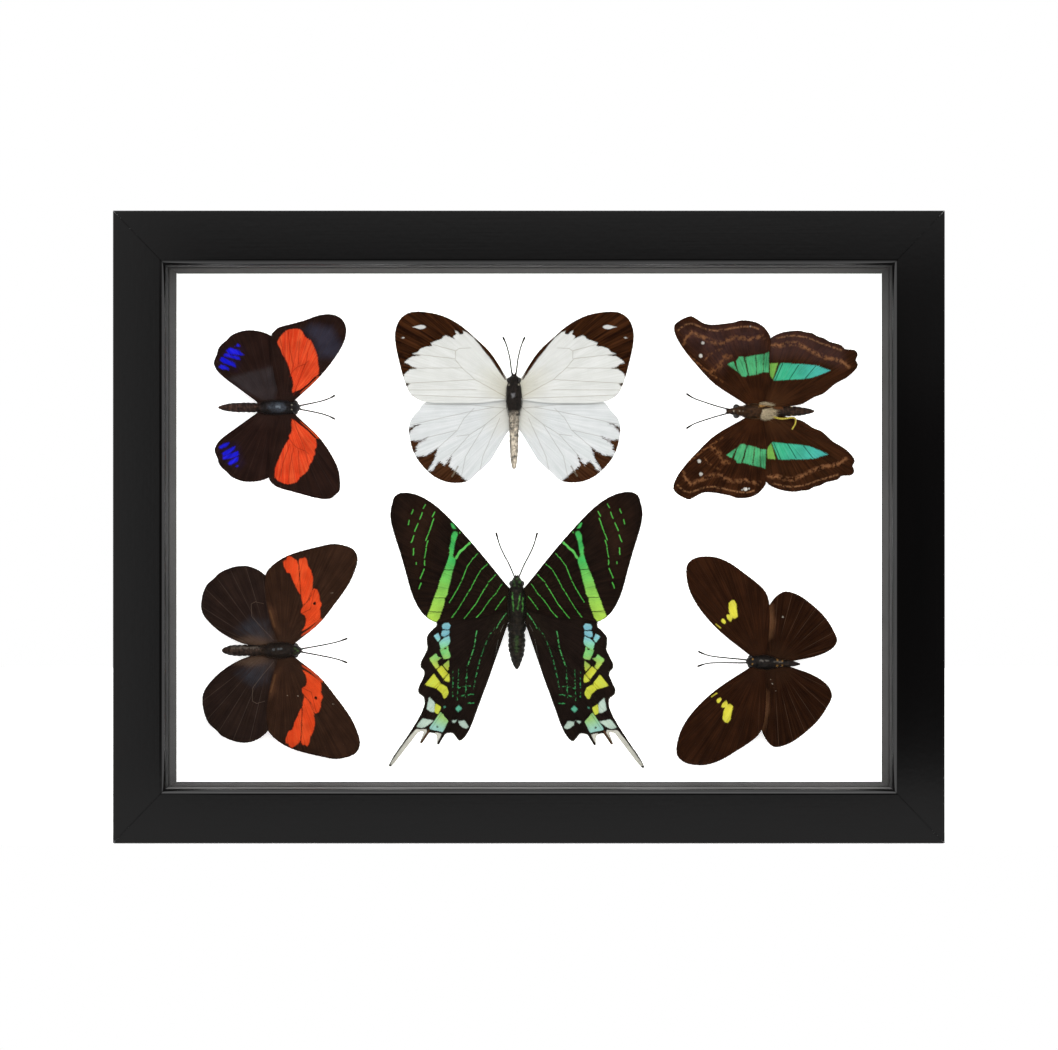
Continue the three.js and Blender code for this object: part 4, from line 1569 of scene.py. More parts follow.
SCARLET_FOREWING = WingLook(
    roots=((2.7, 5.65), (2.8, 1.15)), base=(36, 23, 19), streak=(50, 31, 24), root=(46, 32, 28),
    rim=(26, 16, 13), vein=(70, 58, 54),
    patches=(
        # Painted sheen: a blue-grey glint over the apex of the left forewing only.
        Patch((64, 66, 84), (), left=(((17.5, 14.8), (17, 21), (21, 22.4), (27.5, 19), (28.5, 12),
            (26.5, 9.6), (23.6, 12.4)),), soft=3.0, ragged=1.2, share=0.55),
        Patch((234, 66, 32), (((10.1, 14.3), (10.7, 13.4), (12.6, 13.8), (14, 13.6), (14.7, 13), (16, 13.3),
            (17, 12.6), (18.4, 12.4), (19.3, 11.6), (20.1, 11.2), (21.5, 10.9), (22.5, 10), (23.3, 9),
            (23.7, 8.2), (24.9, 7.5), (25.7, 6.8), (26, 5.6), (26.4, 4.6), (26.3, 3.2), (25.9, 1.9),
            (25.2, 0.5), (24.2, -0.5), (22.8, -0.7), (21.8, -0.6), (20.1, -0.2), (18.4, 0.5), (16.4, 1.4),
            (14.7, 2), (13, 2.9), (11.9, 3.6), (10.6, 4.4), (9.7, 4.2), (9, 4.8), (8.2, 5.2), (6.8, 5.3),
            (5.8, 5.1), (4.1, 5.3), (4.5, 6.6), (6.2, 9), (8.2, 11.4), (9.9, 13.4)),), left=(((11.6, 14.5),
            (13.6, 14.6), (15, 14.2), (17, 14.2), (19.1, 13.6), (21.1, 12.8), (23.2, 11.7), (23.5, 10.9),
            (24.5, 9.7), (25.9, 9), (26.9, 8), (27.1, 6.6), (26.9, 4.6), (26.4, 3.2), (25.2, 2),
            (23.8, 0.9), (22.5, 0.3), (21.5, 0.6), (20.1, 1.4), (18, 2.2), (17, 2.9), (15.7, 3.6),
            (13.3, 4.4), (11.6, 4.9), (10.2, 5.3), (8.9, 5.7), (7.2, 5.7), (6, 5.3), (5, 5.6), (5.6, 6.6),
            (6.2, 8.7), (9, 12)),), streak=(250, 104, 58), soft=0.35, ragged=0.5),
        Patch((236, 92, 44), (((4.6, 8.1), (5.2, 8.3), (10.9, 14.4), (10.2, 14.8)),), soft=0.3, ragged=0.2,
            share=0.8),
    ),
    strokes=(
        Stroke((60, 20, 14), 0.55, (((4.4, 6.6), (7.5, 10.5), (10.4, 13.4)),), wander=0.15),
        Stroke((120, 26, 16), 0.3, (((10.6, 4.4), (12.6, 5.6), (14, 7.3), (15, 10), (16, 11)), ((15, 7.5),
            (20.4, 7.7), (23.7, 8.2)), ((14, 5.9), (20, 4.6), (26, 4)), ((12.6, 4.6), (18, 2.6), (24.2, 1)),
            ((15, 10), (19, 10.8)), ((4.2, 5.9), (8, 7.2), (15, 10))), share=0.5, wander=0.2),
    ),
    vein_share=0.45
)
SCARLET_HINDWING = WingLook(
    roots=((2.5, 0.6), (2.4, -6.3)), base=(37, 23, 19), streak=(50, 31, 25), root=(62, 44, 38),
    rim=(26, 17, 15), vein=(70, 58, 54), right=Fit(0.965, 0.98, -0.7), veins=HIND_VEINS,
    patches=(
        # Painted sheen: a paler grey zone near the body, on the left hindwing only.
        Patch((70, 64, 66), (), left=(((2.5, -1), (15, 3), (13.6, -4), (11.4, -12.7), (10, -17), (6, -12),
            (2.8, -5)),), streak=(54, 47, 47), soft=1.4, ragged=1.2, share=0.6),
        Patch((44, 30, 74), (((13, -14), (20, -11.5), (21.5, -13), (19.5, -18), (14.5, -19.5)),), soft=3.0,
            ragged=0.8, share=0.35),
        Patch((18, 24, 226), (((12.7, -16.5), (13.7, -17), (14.8, -19), (14.9, -20), (14.3, -20.2),
            (13.2, -18.6)), ((14, -14.5), (15.3, -14.9), (17, -17), (17.5, -18.6), (16.6, -19),
            (15.4, -17.4)), ((15.7, -13.4), (17, -13.1), (18.3, -15.8), (18.8, -18.6), (17.9, -18.8),
            (16.8, -16.4)), ((17.6, -13.4), (19.1, -13.4), (20.8, -16.1), (20.1, -16.9), (18.9, -15.8)),
            ((20.8, -13.3), (21.4, -13.6), (21.2, -14.1), (20.7, -14))), left=(((13, -16.5), (14, -16.9),
            (14.8, -19.2), (14, -20.1), (13.3, -18.9)), ((14, -14.1), (15.3, -14.5), (17.5, -18.9),
            (16.4, -19.6), (15.3, -18.2)), ((16.4, -12.6), (17.4, -13.1), (18.7, -17.9), (17.7, -18.2)),
            ((18.1, -11.4), (19.8, -13.4), (20.6, -16.2), (19.6, -17.5), (18.4, -16.5)), ((21.1, -12.4),
            (22, -13.4), (21.1, -14.3))), streak=(50, 44, 246), soft=0.45, ragged=0.6),
    ),
)
SCARLET_BODY = BodyLook(
    rows=((8, 0.5), (7.6, 1.2), (6.8, 1.9), (5.4, 1.8), (4.5, 2.1), (1, 2.5), (-3, 2.3), (-5.8, 1.7),
        (-8, 1.7), (-11, 1.75), (-14.5, 1.65), (-17, 1.35), (-19, 0.8), (-20.1, 0.3)),
    eye=(1.45, 6.3, 1.1),
    antenna=((0.5, 7.4), (0.9, 9.5), (1.6, 13), (2.3, 16), (3.2, 18.5), (4.1, 20.2)),
    thorax=(30, 28, 31), abdomen=(52, 36, 30), hair=(44, 32, 27), waist=-5.0,
    patches=(
        # Painted sheen and highlight: a bluish-grey oval on the thorax with a pale glint in it.
        Patch((70, 78, 88), (((0, 3.6), (1.3, 2.6), (1.7, 0.6), (1.3, -1.8), (0, -2.8), (-1.3, -1.8),
            (-1.7, 0.6), (-1.3, 2.6)),), soft=1.1, ragged=0.9, share=0.75),
        Patch((150, 162, 172), (((-0.5, 1.5), (0, 1.8), (0.3, 1), (0, -0.2), (-0.5, 0.3)),), soft=0.7,
            ragged=0.4, share=0.7),
        # Painted shade: dark bands in the creases at the neck and the waist.
        Patch((12, 10, 9), (box(-2.2, 4.9, 2.2, 4.4), box(-1.8, -3.6, 1.8, -4.2)), soft=0.5, ragged=0.5,
            share=0.8),
        Patch((206, 200, 180), both(box(0.6, 5.6, 1, 5.2)), soft=0.25, ragged=0.1),
    ),
)
WHITE_FOREWING = WingLook(
    roots=((2.9, 6.2), (2.9, -0.6)), base=(226, 227, 222), streak=(240, 241, 238), root=(198, 192, 166),
    rim=(214, 214, 206), vein=(196, 198, 178), left=Fit(0.993, 1.0, 0.0), rim_width=0.25, vein_share=0.0,
    mottle=0.12, columns=220, rows=70,
    patches=(
        Patch((30, 13, 5), (((13.7, 20.5), (16.2, 22.4), (17.6, 23), (17.4, 22.1), (18.6, 21.7),
            (19.7, 22.8), (20.5, 23.2), (19.9, 21.9), (21.1, 21.1), (20.5, 20.2), (23.6, 21.5),
            (24.4, 21.3), (24.8, 20.2), (26.9, 19.7), (28.8, 18.8), (28.3, 17.9), (30.6, 17.6), (32.3, 17),
            (33.5, 15.7), (35, 15.1), (32.3, 14.6), (35.2, 14.3), (36.8, 13.3), (38.1, 12), (36.4, 11.6),
            (35.4, 10.8), (33.5, 10.2), (35.8, 9.8), (37, 9.1), (37.9, 8.1), (39.5, 5), (46, 12), (46, 26),
            (36, 32), (24, 31), (14, 24), (12, 20.6)), ((2.6, 6.2), (3.2, 6.3), (8, 13.2), (13.9, 20.6),
            (17, 23), (15, 24.5), (7, 15.5)), ((35.8, 4.9), (37.3, 5.2), (39.4, 4.2), (37, 4.1))),
            streak=(84, 48, 24), soft=0.3, ragged=0.55),
        Patch((236, 236, 232), (((30.4, 24.4), (31.2, 25), (32.5, 25.1), (34, 24.7), (35.6, 24.4),
            (34, 24.1), (32.6, 23.6), (31.2, 23.8)), ((37.7, 20.7), (38.4, 21), (39.4, 20.6),
            (38.4, 20.4))), soft=0.3, ragged=0.15),
    ),
    strokes=(
        Stroke((140, 132, 104), 0.2, (((3, 0.5), (13.5, 6.3), (37, 5)), ((13.5, 6.3), (18, 10.3),
            (20.5, 13.3)), ((18, 10.3), (36, 10.2)), ((20.5, 13.5), (34, 15)), ((15, 17.2), (19, 17),
            (20.3, 16), (20.2, 13.5)), ((20.3, 16.2), (28, 18.3)), ((3, -0.2), (36, 1)), ((13, 2.8),
            (37, 2.7))), share=0.55, wander=0.1, soft=0.2),
    ),
)
WHITE_HINDWING = WingLook(
    roots=((2.7, -0.9), (2.2, -10.6)), base=(218, 222, 222), streak=(236, 238, 238), root=(216, 212, 196),
    rim=(206, 210, 208), vein=(190, 196, 188), left=Fit(0.99, 1.0, -0.4), veins=HIND_VEINS, rim_width=0.25,
    vein_share=0.0, mottle=0.12, columns=220, rows=70,
    patches=(
        Patch((48, 25, 12), (((32.3, -8.6), (34.5, -9.3), (36, -10), (38, -11), (36.8, -12), (35.8, -10.9),
            (34.2, -9.8)), ((30, -13.2), (33.1, -14.6), (36.2, -14.4), (38, -15), (37.5, -18), (35, -18.9),
            (34.1, -17.7), (33.9, -16.1), (32.7, -15.2)), ((26.1, -16.5), (28.1, -18.1), (30.6, -19.6),
            (33.9, -19.9), (36, -20.5), (33, -24.5), (30.2, -25), (28.8, -22.7), (27.7, -20.6),
            (26.9, -17.7)), ((21.9, -19.6), (24.4, -23.1), (25.7, -21.7), (26.9, -22.3), (28.6, -24.8),
            (31, -25.5), (27, -31), (16, -32), (16.6, -28.5), (18.6, -26.8), (20.3, -25.2), (21.7, -24.3),
            (22.8, -23.1))), streak=(84, 52, 30), soft=0.4, ragged=1.1),
    ),
    strokes=(
        Stroke((120, 112, 96), 0.6, (((19.7, -23.5), (21.7, -26.8)),), share=0.6),
        Stroke((140, 138, 120), 0.2, (((3, -3.5), (15, -2.3), (31, -2)), ((7, -3.2), (16, -4.7), (36, -9)),
            ((14, -3.5), (17.5, -7), (19.8, -11), (30.5, -13.4)), ((19.8, -11), (26.4, -16.8)), ((3, -3.5),
            (10, -9), (15.5, -12.5), (20, -13)), ((15.5, -12.5), (22.2, -19.8)), ((10, -9), (17, -20),
            (18.5, -27)), ((5, -7), (11, -20), (12.5, -27.5))), share=0.55, wander=0.1, soft=0.2),
    ),
)
WHITE_BODY = BodyLook(
    rows=((8.2, 0.5), (7.6, 1.1), (6.8, 1.8), (5.4, 1.9), (4.4, 2.3), (1, 2.65), (-2.5, 2.5), (-4.6, 1.9),
        (-8, 1.8), (-12, 1.6), (-17, 1.5), (-21, 1.2), (-23.6, 0.8), (-24.5, 0.3)),
    eye=(1.45, 6.1, 1.1),
    antenna=((0.5, 7.2), (0.9, 9.5), (1.4, 13.5), (2.3, 17.2), (3.1, 19.4), (3.8, 20.9)),
    thorax=(22, 17, 14), abdomen=(168, 164, 153), hair=(70, 64, 58), waist=-4.2, hairs=700, joint=0.2,
    patches=(
        Patch((168, 96, 40), (((2.6, -3.2), (4, -2.8), (4, -1.2), (2.8, -1.4)),), ragged=0.2),
        Patch((58, 50, 42), (((-0.4, -4.6), (0.5, -4.6), (0.4, -7.6), (-0.3, -12.4)),), soft=0.6,
            ragged=1.1, share=0.75),
        # Painted highlight: a pale glint on the thorax.
        Patch((142, 142, 144), (((-0.8, 1.3), (0.2, 1.5), (0.4, 0.3), (-0.6, -0.1)),), soft=0.7, ragged=0.4,
            share=0.85),
        Patch((206, 198, 178), both(((1.5, 4.8), (1.9, 4.7), (1.9, 4.1), (1.5, 4.2))), soft=0.3,
            ragged=0.2),
    ),
)
EMPEROR_FOREWING = WingLook(
    roots=((2.7, 2.7), (2.8, -2.6)), base=(46, 24, 12), streak=(72, 40, 20), root=(72, 40, 20),
    rim=(32, 20, 15), vein=(34, 18, 9), left=Fit(0.965, 0.955, 3.2), mottle=0.9, columns=240, rows=70,
    patches=(
        # Painted sheen: a purplish glint over the outer forewing, on the right wing only.
        Patch((98, 74, 74), (((14, 12), (24, 24), (29, 26), (29.5, 12), (29, -2), (21, -3), (20, 8)),),
            left=(), soft=5.0, ragged=1.0, share=0.28),
        Patch((78, 184, 126), (((16.1, 9.9), (16.8, 8.8), (17.1, 7.9), (15.4, 7.2), (13.6, 6.5)),
            ((13.4, 6.1), (17.2, 7), (18.8, 5.9), (18.8, 4.5), (12.5, 2.9), (11.9, 3.6), (12, 4.9)),
            ((12.2, 2.4), (18.6, 3.8), (19.3, 0.4), (12.7, 0)), ((12.7, -0.3), (19.3, 0), (19.7, -2.5),
            (13.4, -2.2)), ((13.4, -2.4), (19.7, -2.8), (20.4, -4.3), (13.4, -4.3))),
            streak=(104, 196, 128), soft=0.3, ragged=0.5),
        Patch((240, 236, 226), (((18.3, 19.3), (18.8, 19.8), (19.5, 19.7), (19.8, 19.1), (19.4, 18.5),
            (18.6, 18.6)), ((22.9, 18.6), (23.5, 19.1), (24.1, 18.6), (23.9, 17.9), (23.2, 17.9)),
            ((29, 2.3), (29.4, 2.3), (29.5, 1.9), (29, 1.8))), left=(((16.4, 19.8), (17, 20.4), (17.8, 20),
            (17.8, 19.2), (17, 19)), ((20.9, 19.2), (21.5, 19.8), (22.3, 19.4), (22.2, 18.6), (21.4, 18.4)),
            ((26.2, 4.2), (26.8, 4.6), (27.5, 4), (27.2, 3.1), (26.4, 3.1)), ((26.4, 2.8), (26.9, 2.7),
            (26.8, 2.2), (26.4, 2.3)), ((26.9, 5.2), (27.4, 5.1), (27.2, 4.7), (26.8, 4.8))), soft=0.3,
            ragged=0.12),
    ),
    strokes=(
        Stroke((150, 98, 60), 0.6, (((22, 26), (19.5, 23.6), (17, 20.8), (14.4, 17.6), (12.2, 14.4),
            (10, 11.6)), ((17.6, 17.6), (19.4, 16.4), (20.6, 14.4), (21.4, 12))), share=0.7, soft=0.5,
            wander=0.5, broken=0.5, fleck=0.8),
        Stroke((156, 102, 62), 1.5, (((13.6, 15.4), (14.5, 13.8), (16.3, 12.2), (18.6, 11.5),
            (18.8, 9.3)),), share=0.65, soft=1.2, wander=0.8, broken=0.45, fleck=0.7),
        Stroke((158, 106, 68), 1.3, (((23.1, 25.1), (25.2, 24.2), (27.2, 22.2), (26.5, 20.6), (25.2, 17.9),
            (24, 15.1), (23.4, 13.3), (23.6, 11.1), (24.7, 9.7), (25.4, 7.4), (25.2, 4.7), (24.7, 2),
            (25.4, -0.7), (25.6, -2.5)),), share=0.7, soft=1.0, wander=0.5, broken=0.5, fleck=0.8),
        Stroke((180, 128, 88), 0.55, (((27.9, 26.9), (29.7, 24.7), (30.2, 22), (28.8, 18.8), (28, 16.5),
            (27.7, 13.8), (28.1, 10.6), (28.8, 7.4), (29.2, 3.8), (29, 1.1), (28.3, -0.7)),), share=0.7,
            soft=0.5, broken=0.4, fleck=1.1),
    ),
)
EMPEROR_HINDWING = WingLook(
    roots=((2.8, -2.4), (1.9, -7.6)), base=(46, 26, 13), streak=(70, 39, 20), root=(84, 52, 30),
    rim=(30, 19, 14), vein=(28, 17, 12), left=Fit(0.975, 0.99, 2.5), veins=HIND_VEINS, columns=240, rows=70,
    patches=(
        # Painted sheen: a purplish glint over the outer hindwing, on the right wing only.
        Patch((98, 74, 74), (((18, -3), (27.5, -4), (27, -18), (21, -30), (15.5, -30), (19, -14)),),
            left=(), soft=4.0, ragged=1.0, share=0.28),
        Patch((62, 192, 144), (((10.7, -5.9), (16.6, -8.4), (16.6, -10.7), (16.3, -14.3), (16.1, -18),
            (15.6, -21.6), (15, -23), (14.1, -25.7), (12.9, -22.9), (11.6, -19.3), (11.1, -15.7),
            (10.9, -11.2), (10.7, -7.5)),), streak=(96, 204, 160), fade=((84, 196, 186), (12, -10),
            (15, -25)), soft=0.35, ragged=0.5),
        Patch((124, 192, 84), (((13.2, -4.4), (16.5, -4.6), (16.6, -7.5), (11.1, -5.7), (12, -5)),),
            streak=(160, 200, 96), soft=0.35, ragged=0.4),
    ),
    strokes=(
        Stroke((26, 60, 50), 0.3, (((10.9, -11.4), (15.9, -14.6)), ((11.5, -17), (15.6, -20.5)),
            ((10.8, -6.6), (16.5, -9.2))), share=0.8, wander=0.1),
        Stroke((160, 108, 70), 1.2, (((22.7, -5.3), (22.8, -8.9), (23.3, -10.7), (23.4, -13.9),
            (22.2, -16.6), (20.6, -19.3), (19.3, -22), (18.4, -24.3), (17.9, -27.5), (17, -30),
            (15.4, -31.8)),), share=0.75, soft=0.9, wander=0.5, broken=0.45, fleck=0.8),
        Stroke((180, 128, 88), 0.5, (((25.2, -7.1), (26, -11.2), (26, -14.8), (24.9, -19.3), (23.4, -22.5),
            (22.2, -26.1), (21.1, -29.3)),), share=0.65, soft=0.5, broken=0.4, fleck=1.1),
    ),
)
EMPEROR_BODY = BodyLook(
    rows=((10.3, 0.4), (9.4, 0.8), (8.2, 1.2), (6.8, 1.7), (5.2, 1.6), (4, 2.1), (1, 2.7), (-2.5, 2.5),
        (-5, 1.8), (-8, 1.7), (-13, 1.7), (-16.5, 1.3), (-19, 0.7), (-19.9, 0.3)),
    eye=(1.35, 6.9, 1.15),
    antenna=((0.6, 8.4), (0.9, 10.4), (1.8, 13.8), (3.1, 17.9), (4.4, 21.5), (6, 24.2)),
    thorax=(48, 30, 15), abdomen=(44, 30, 21), hair=(96, 66, 38), waist=-4.4, hairs=900,
    trailing_leg=((-1.2, -4.6, 0.2), (-2.6, -8.2, 1), (-2.3, -12.8, 1.1), (-4.1, -13.4, 1),
        (-6.3, -12.2, 0.9)),
    tuft=(((0.6, -1.6), (-0.8, -1.2), (-3.2, -1.3), (-3.4, -3), (-2.8, -5.4), (-0.2, -6.2), (0.8, -5)),
        ((2, -0.6), (3.2, -0.8), (3, -4.6), (1.8, -5.6), (1.5, -4.8))),
    patches=(
        Patch((224, 190, 70), both(box(-2, -11.7, -1.4, -12.3)), ragged=0.05),
        Patch((244, 226, 190), (((0.4, -2.2), (-1, -1.6), (-3.4, -1.3), (-3.4, -5.4), (-0.6, -5.6),
            (0.6, -4)),), soft=0.3, ragged=0.7, share=0.95),
        Patch((196, 186, 164), (box(-0.2, 5.7, 0.3, 6.1), box(-0.2, 4.6, 0.2, 4.9), box(-0.3, 7.7, 0.3, 8)),
            soft=0.3, ragged=0.1, share=0.8),
        Patch((222, 168, 92), (((1.2, -0.8), (3.4, -0.8), (3.4, -6.6), (1.4, -6.2), (1.7, -3)),), soft=0.4,
            ragged=0.7, share=0.9),
        Patch((120, 70, 30), (((0.6, -4.4), (2.4, -4.4), (2.4, -9), (0.6, -9)),), soft=0.8, share=0.6),
    ),
)
POSTMAN_FOREWING = WingLook(
    roots=((2.9, 5.4), (2.8, 0.4)), base=(46, 29, 20), streak=(64, 42, 29), root=(58, 40, 30),
    rim=(28, 18, 15), vein=(24, 15, 12), left=Fit(0.967, 1.0, -1.5),
    patches=(
        Patch((92, 62, 42), (((6, 1), (14, -0.5), (17, -3), (9, -2.2)),), soft=1.8, share=0.55),
        Patch((238, 74, 32), (((6.7, 8.5), (7.3, 9.9), (9.6, 13.4), (10.6, 14.7), (11.5, 15), (13.5, 15),
            (14.6, 14.8), (15.8, 15.6), (16.6, 15.3), (17.3, 14.9), (19.3, 14.8), (21.2, 14.2),
            (21.7, 13.2), (21.2, 12.4), (19.5, 12.2), (17.3, 11.1), (15.8, 9.5), (14.4, 8.4), (13.5, 8.2),
            (12.9, 8.5), (12.3, 9.5), (11.5, 10), (9.6, 9.9), (8, 9.5), (7.1, 8.7)), ((16, 9.1),
            (17.3, 10.7), (19.7, 12.2), (22.7, 12.6), (25.5, 12.8), (27.4, 12.4), (28.9, 11.8),
            (29.9, 11.1), (32, 10.9), (33, 10.1), (32.4, 9.3), (32.6, 8.5), (31.6, 8), (28.9, 8.2),
            (25.1, 8.4), (21.2, 8.5), (18.1, 8.7)), ((19.5, 8.3), (22, 8.4), (25.1, 8.1), (28.2, 8.1),
            (30.5, 7.8), (32, 7.2), (33, 5.8), (33.6, 4.9), (33, 3.9), (32, 3.7), (32, 2.8), (30.7, 2.7),
            (28.9, 3.3), (27.6, 3.9), (27.6, 4.7), (26.6, 5.3), (24.7, 5.8), (23.1, 6.6), (21.2, 7.4))),
            streak=(240, 92, 46), soft=0.3, ragged=0.4),
        Patch((224, 82, 44), (((4.8, 8.2), (5.5, 8.4), (7.5, 11.2), (11.2, 15.3), (10.4, 15.7),
            (6.6, 11.6)),), soft=0.3, ragged=0.2, share=0.85),
        Patch((220, 208, 190), (((15.4, 2.8), (15.8, 2.8), (15.8, 3.5), (15.4, 3.5)), ((15.3, 6.8),
            (15.8, 6.7), (15.8, 7.2), (15.4, 7.2)), ((18.4, 18.6), (18.7, 19.5), (18.5, 19.6),
            (18.2, 18.8))), left=(((19.8, 18.2), (20, 19.2), (19.8, 19.2), (19.5, 18.4)),), soft=0.2,
            ragged=0.1, share=0.8),
        Patch((34, 20, 15), (((15.8, 13.4), (16.3, 13.9), (17, 13.5), (17, 12.8), (16.3, 12.5),
            (15.8, 12.8)),), soft=0.25, ragged=0.15),
    ),
    strokes=(
        Stroke((140, 94, 60), 0.5, (((8.4, -0.9), (10.4, -1.3), (14.2, -2.3)),), share=0.4, soft=0.5),
        Stroke((70, 26, 16), 0.3, (((17.3, 10.7), (20.4, 12)), ((20, 8.4), (32, 8)), ((12.9, 8.6),
            (14.4, 11.6), (21, 13.2))), share=0.5, wander=0.1),
    ),
    vein_share=0.4
)
POSTMAN_HINDWING = WingLook(
    roots=((2.8, -0.2), (2.1, -7.6)), base=(38, 27, 23), streak=(50, 36, 29), root=(92, 68, 52),
    rim=(26, 18, 15), vein=(108, 92, 82), left=Fit(0.925, 1.0, -1.5), veins=HIND_VEINS, vein_share=0.42,
    patches=(
        # Painted sheen: bluish-grey radial streaks and a paler grey-brown band near the body.
        Patch((66, 72, 82), (((3, -1.5), (10.5, -3.5), (12, -9), (8, -14), (5, -9)),), streak=(42, 36, 36),
            soft=3.5, ragged=2.0, share=0.5),
        Patch((110, 88, 72), (((2, -3.6), (4, -3.6), (5.4, -9), (4.6, -16), (2, -17)),),
            streak=(88, 70, 58), soft=2.0, ragged=1.6, share=0.5),
    ),
    strokes=(
        Stroke((116, 98, 86), 0.18, (((4, -1.5), (10, -6.5), (13, -8.7), (15.5, -8.8), (17.5, -8.8),
            (18.3, -7.3), (17.5, -4.5)),), share=0.55, wander=0.12, soft=0.2),
    ),
)
POSTMAN_BODY = BodyLook(
    rows=((8.3, 0.5), (7.7, 1.1), (6.8, 1.7), (5.4, 1.9), (4.2, 2.4), (1, 2.8), (-2.5, 2.4), (-4.8, 1.7),
        (-8, 1.9), (-12, 2), (-15.5, 1.9), (-17.6, 1.4), (-18.8, 0.8), (-19.3, 0.3)),
    eye=(1.45, 6.1, 1.1),
    antenna=((0.4, 7.4), (0.8, 9.6), (1.4, 13), (2.2, 17.2), (3.1, 21), (4.2, 24.1)),
    thorax=(26, 21, 18), abdomen=(44, 33, 27), hair=(56, 42, 32), waist=-4.2, hairs=800,
    patches=(
        # Painted shade: a dark band in the neck crease behind the head.
        Patch((12, 10, 9), (box(-2.3, 5.2, 2.3, 4.6),), soft=0.5, ragged=0.5, share=0.8),
        Patch((84, 124, 60), (((-1.1, 6.2), (-0.7, 6.3), (-0.7, 5.7), (-1.1, 5.7)), ((0.7, 6.3), (1.1, 6.2),
            (1.1, 5.6), (0.7, 5.7)), ((-0.3, 7.3), (0.3, 7.3), (0.2, 6.8), (-0.2, 6.8))), soft=0.5,
            ragged=0.7, share=0.75),
        # Painted highlights: pale glints along the thorax.
        Patch((142, 152, 158), (box(-0.8, 1.9, -0.4, 1.2), box(-0.8, 0.7, -0.4, 0.2),
            box(-0.7, -0.8, -0.2, -1.5)), soft=0.45, ragged=0.3, share=0.75),
        Patch((112, 102, 92), (((-1.2, -5.6), (-0.7, -5.6), (-0.7, -15.6), (-1.3, -15.6)),), soft=0.4,
            ragged=1.0, share=0.55),
    ),
)
URANIA_FOREWING = WingLook(
    roots=((2.9, 4.4), (3.5, -2)), base=(22, 15, 11), streak=(40, 27, 20), root=(36, 28, 18),
    rim=(26, 17, 15), vein=(24, 15, 12), left=Fit(1.0, 1.0, -0.4), columns=240, rows=80,
    patches=(
        Patch((70, 45, 31), (((27, 33), (33, 36), (39, 30), (37, 18), (34, 10), (32, 16), (29, 26)),),
            soft=7.0, ragged=1.5, share=0.28),
        Patch((70, 196, 100), (((20, 24), (20.6, 24.4), (21.5, 24.5), (22.1, 23.6), (22.4, 22.5),
            (22.4, 21), (23, 19.1), (23, 16.7), (23.7, 14.3), (24.7, 11.6), (25.4, 10.1), (26.3, 7.9),
            (26.9, 5.7), (27.8, 3.4), (28.8, 0.8), (29.7, -1.8), (31, -4.8), (29.3, -6.1), (27.6, -6.5),
            (26.7, -5.3), (25.8, -2.9), (24.9, -0.3), (24.7, 1.6), (23.9, 2.7), (23.4, 5.3), (22.6, 7.9),
            (22.1, 10.5), (21.3, 13.1), (20.8, 15.2), (21.9, 15.7), (21.3, 19.5), (20.6, 22.1)),
            ((20.7, 25.4), (21.9, 25.4), (22.6, 27.3), (21.8, 27.4))), streak=(100, 206, 96),
            fade=((186, 224, 84), (24, 15), (29, -7)), soft=0.3, ragged=0.45),
    ),
    strokes=(
        Stroke((104, 206, 96), 0.75, (((20.8, 15.2), (19.4, 17.6), (18.3, 18.4), (16.6, 20),
            (16.1, 20.5)),)),
        Stroke((30, 40, 24), 0.3, (((21.9, 11.2), (25.2, 11.4)), ((24.2, 1.6), (28.6, 1.8)), ((25.6, -3.2),
            (30.6, -3))), share=0.8),
        Stroke((88, 196, 80), 0.27, (((13.3, 16.9), (14.8, 15.2), (17, 12.4), (18.5, 8.3), (20.4, 4.6),
            (23.2, 0.1)), ((9.9, 13.3), (12.2, 11.3), (14, 8.3), (15.5, 5.3), (17.8, 1.6), (20, -2),
            (22.4, -5.1)), ((7.1, 9.6), (9.6, 7), (11.8, 3.4), (14, -0.3), (16.3, -3.3), (18.1, -5.5)),
            ((5.1, 6.2), (6.9, 3.4), (9.6, 0.4), (11.8, -2.9), (14, -5.3)), ((4, 1.9), (5.6, -0.1),
            (7.3, -2.5))), share=0.95, broken=0.2, fleck=1.3),
        Stroke((92, 200, 82), 0.36, (((28, 31.2), (28.8, 29.7)), ((28.3, 28.8), (29.1, 27.1)), ((29, 27),
            (30.1, 24)), ((30.3, 23.6), (31.2, 21.5)), ((30.4, 21.3), (31, 19.3)), ((31, 18.7),
            (31.6, 15.4)), ((31.6, 14.4), (31.6, 12.9)), ((31.8, 11.6), (33.1, 8.3)), ((32.9, 6.8),
            (33.6, 4.9)), ((31.2, 33.8), (32, 32.5)), ((32.3, 30.9), (33.1, 28.8)), ((33.8, 27.3),
            (34.9, 24.7)), ((35.2, 23.2), (36.1, 20.8)), ((35.3, 18.7), (35.5, 16.5)), ((34.4, 13.9),
            (34.5, 13.3)), ((35.5, 32), (35.9, 30.7)), ((36.8, 28.4), (37.1, 26.9)), ((19.3, 24.1),
            (19.5, 23.9))), share=0.85),
    ),
)
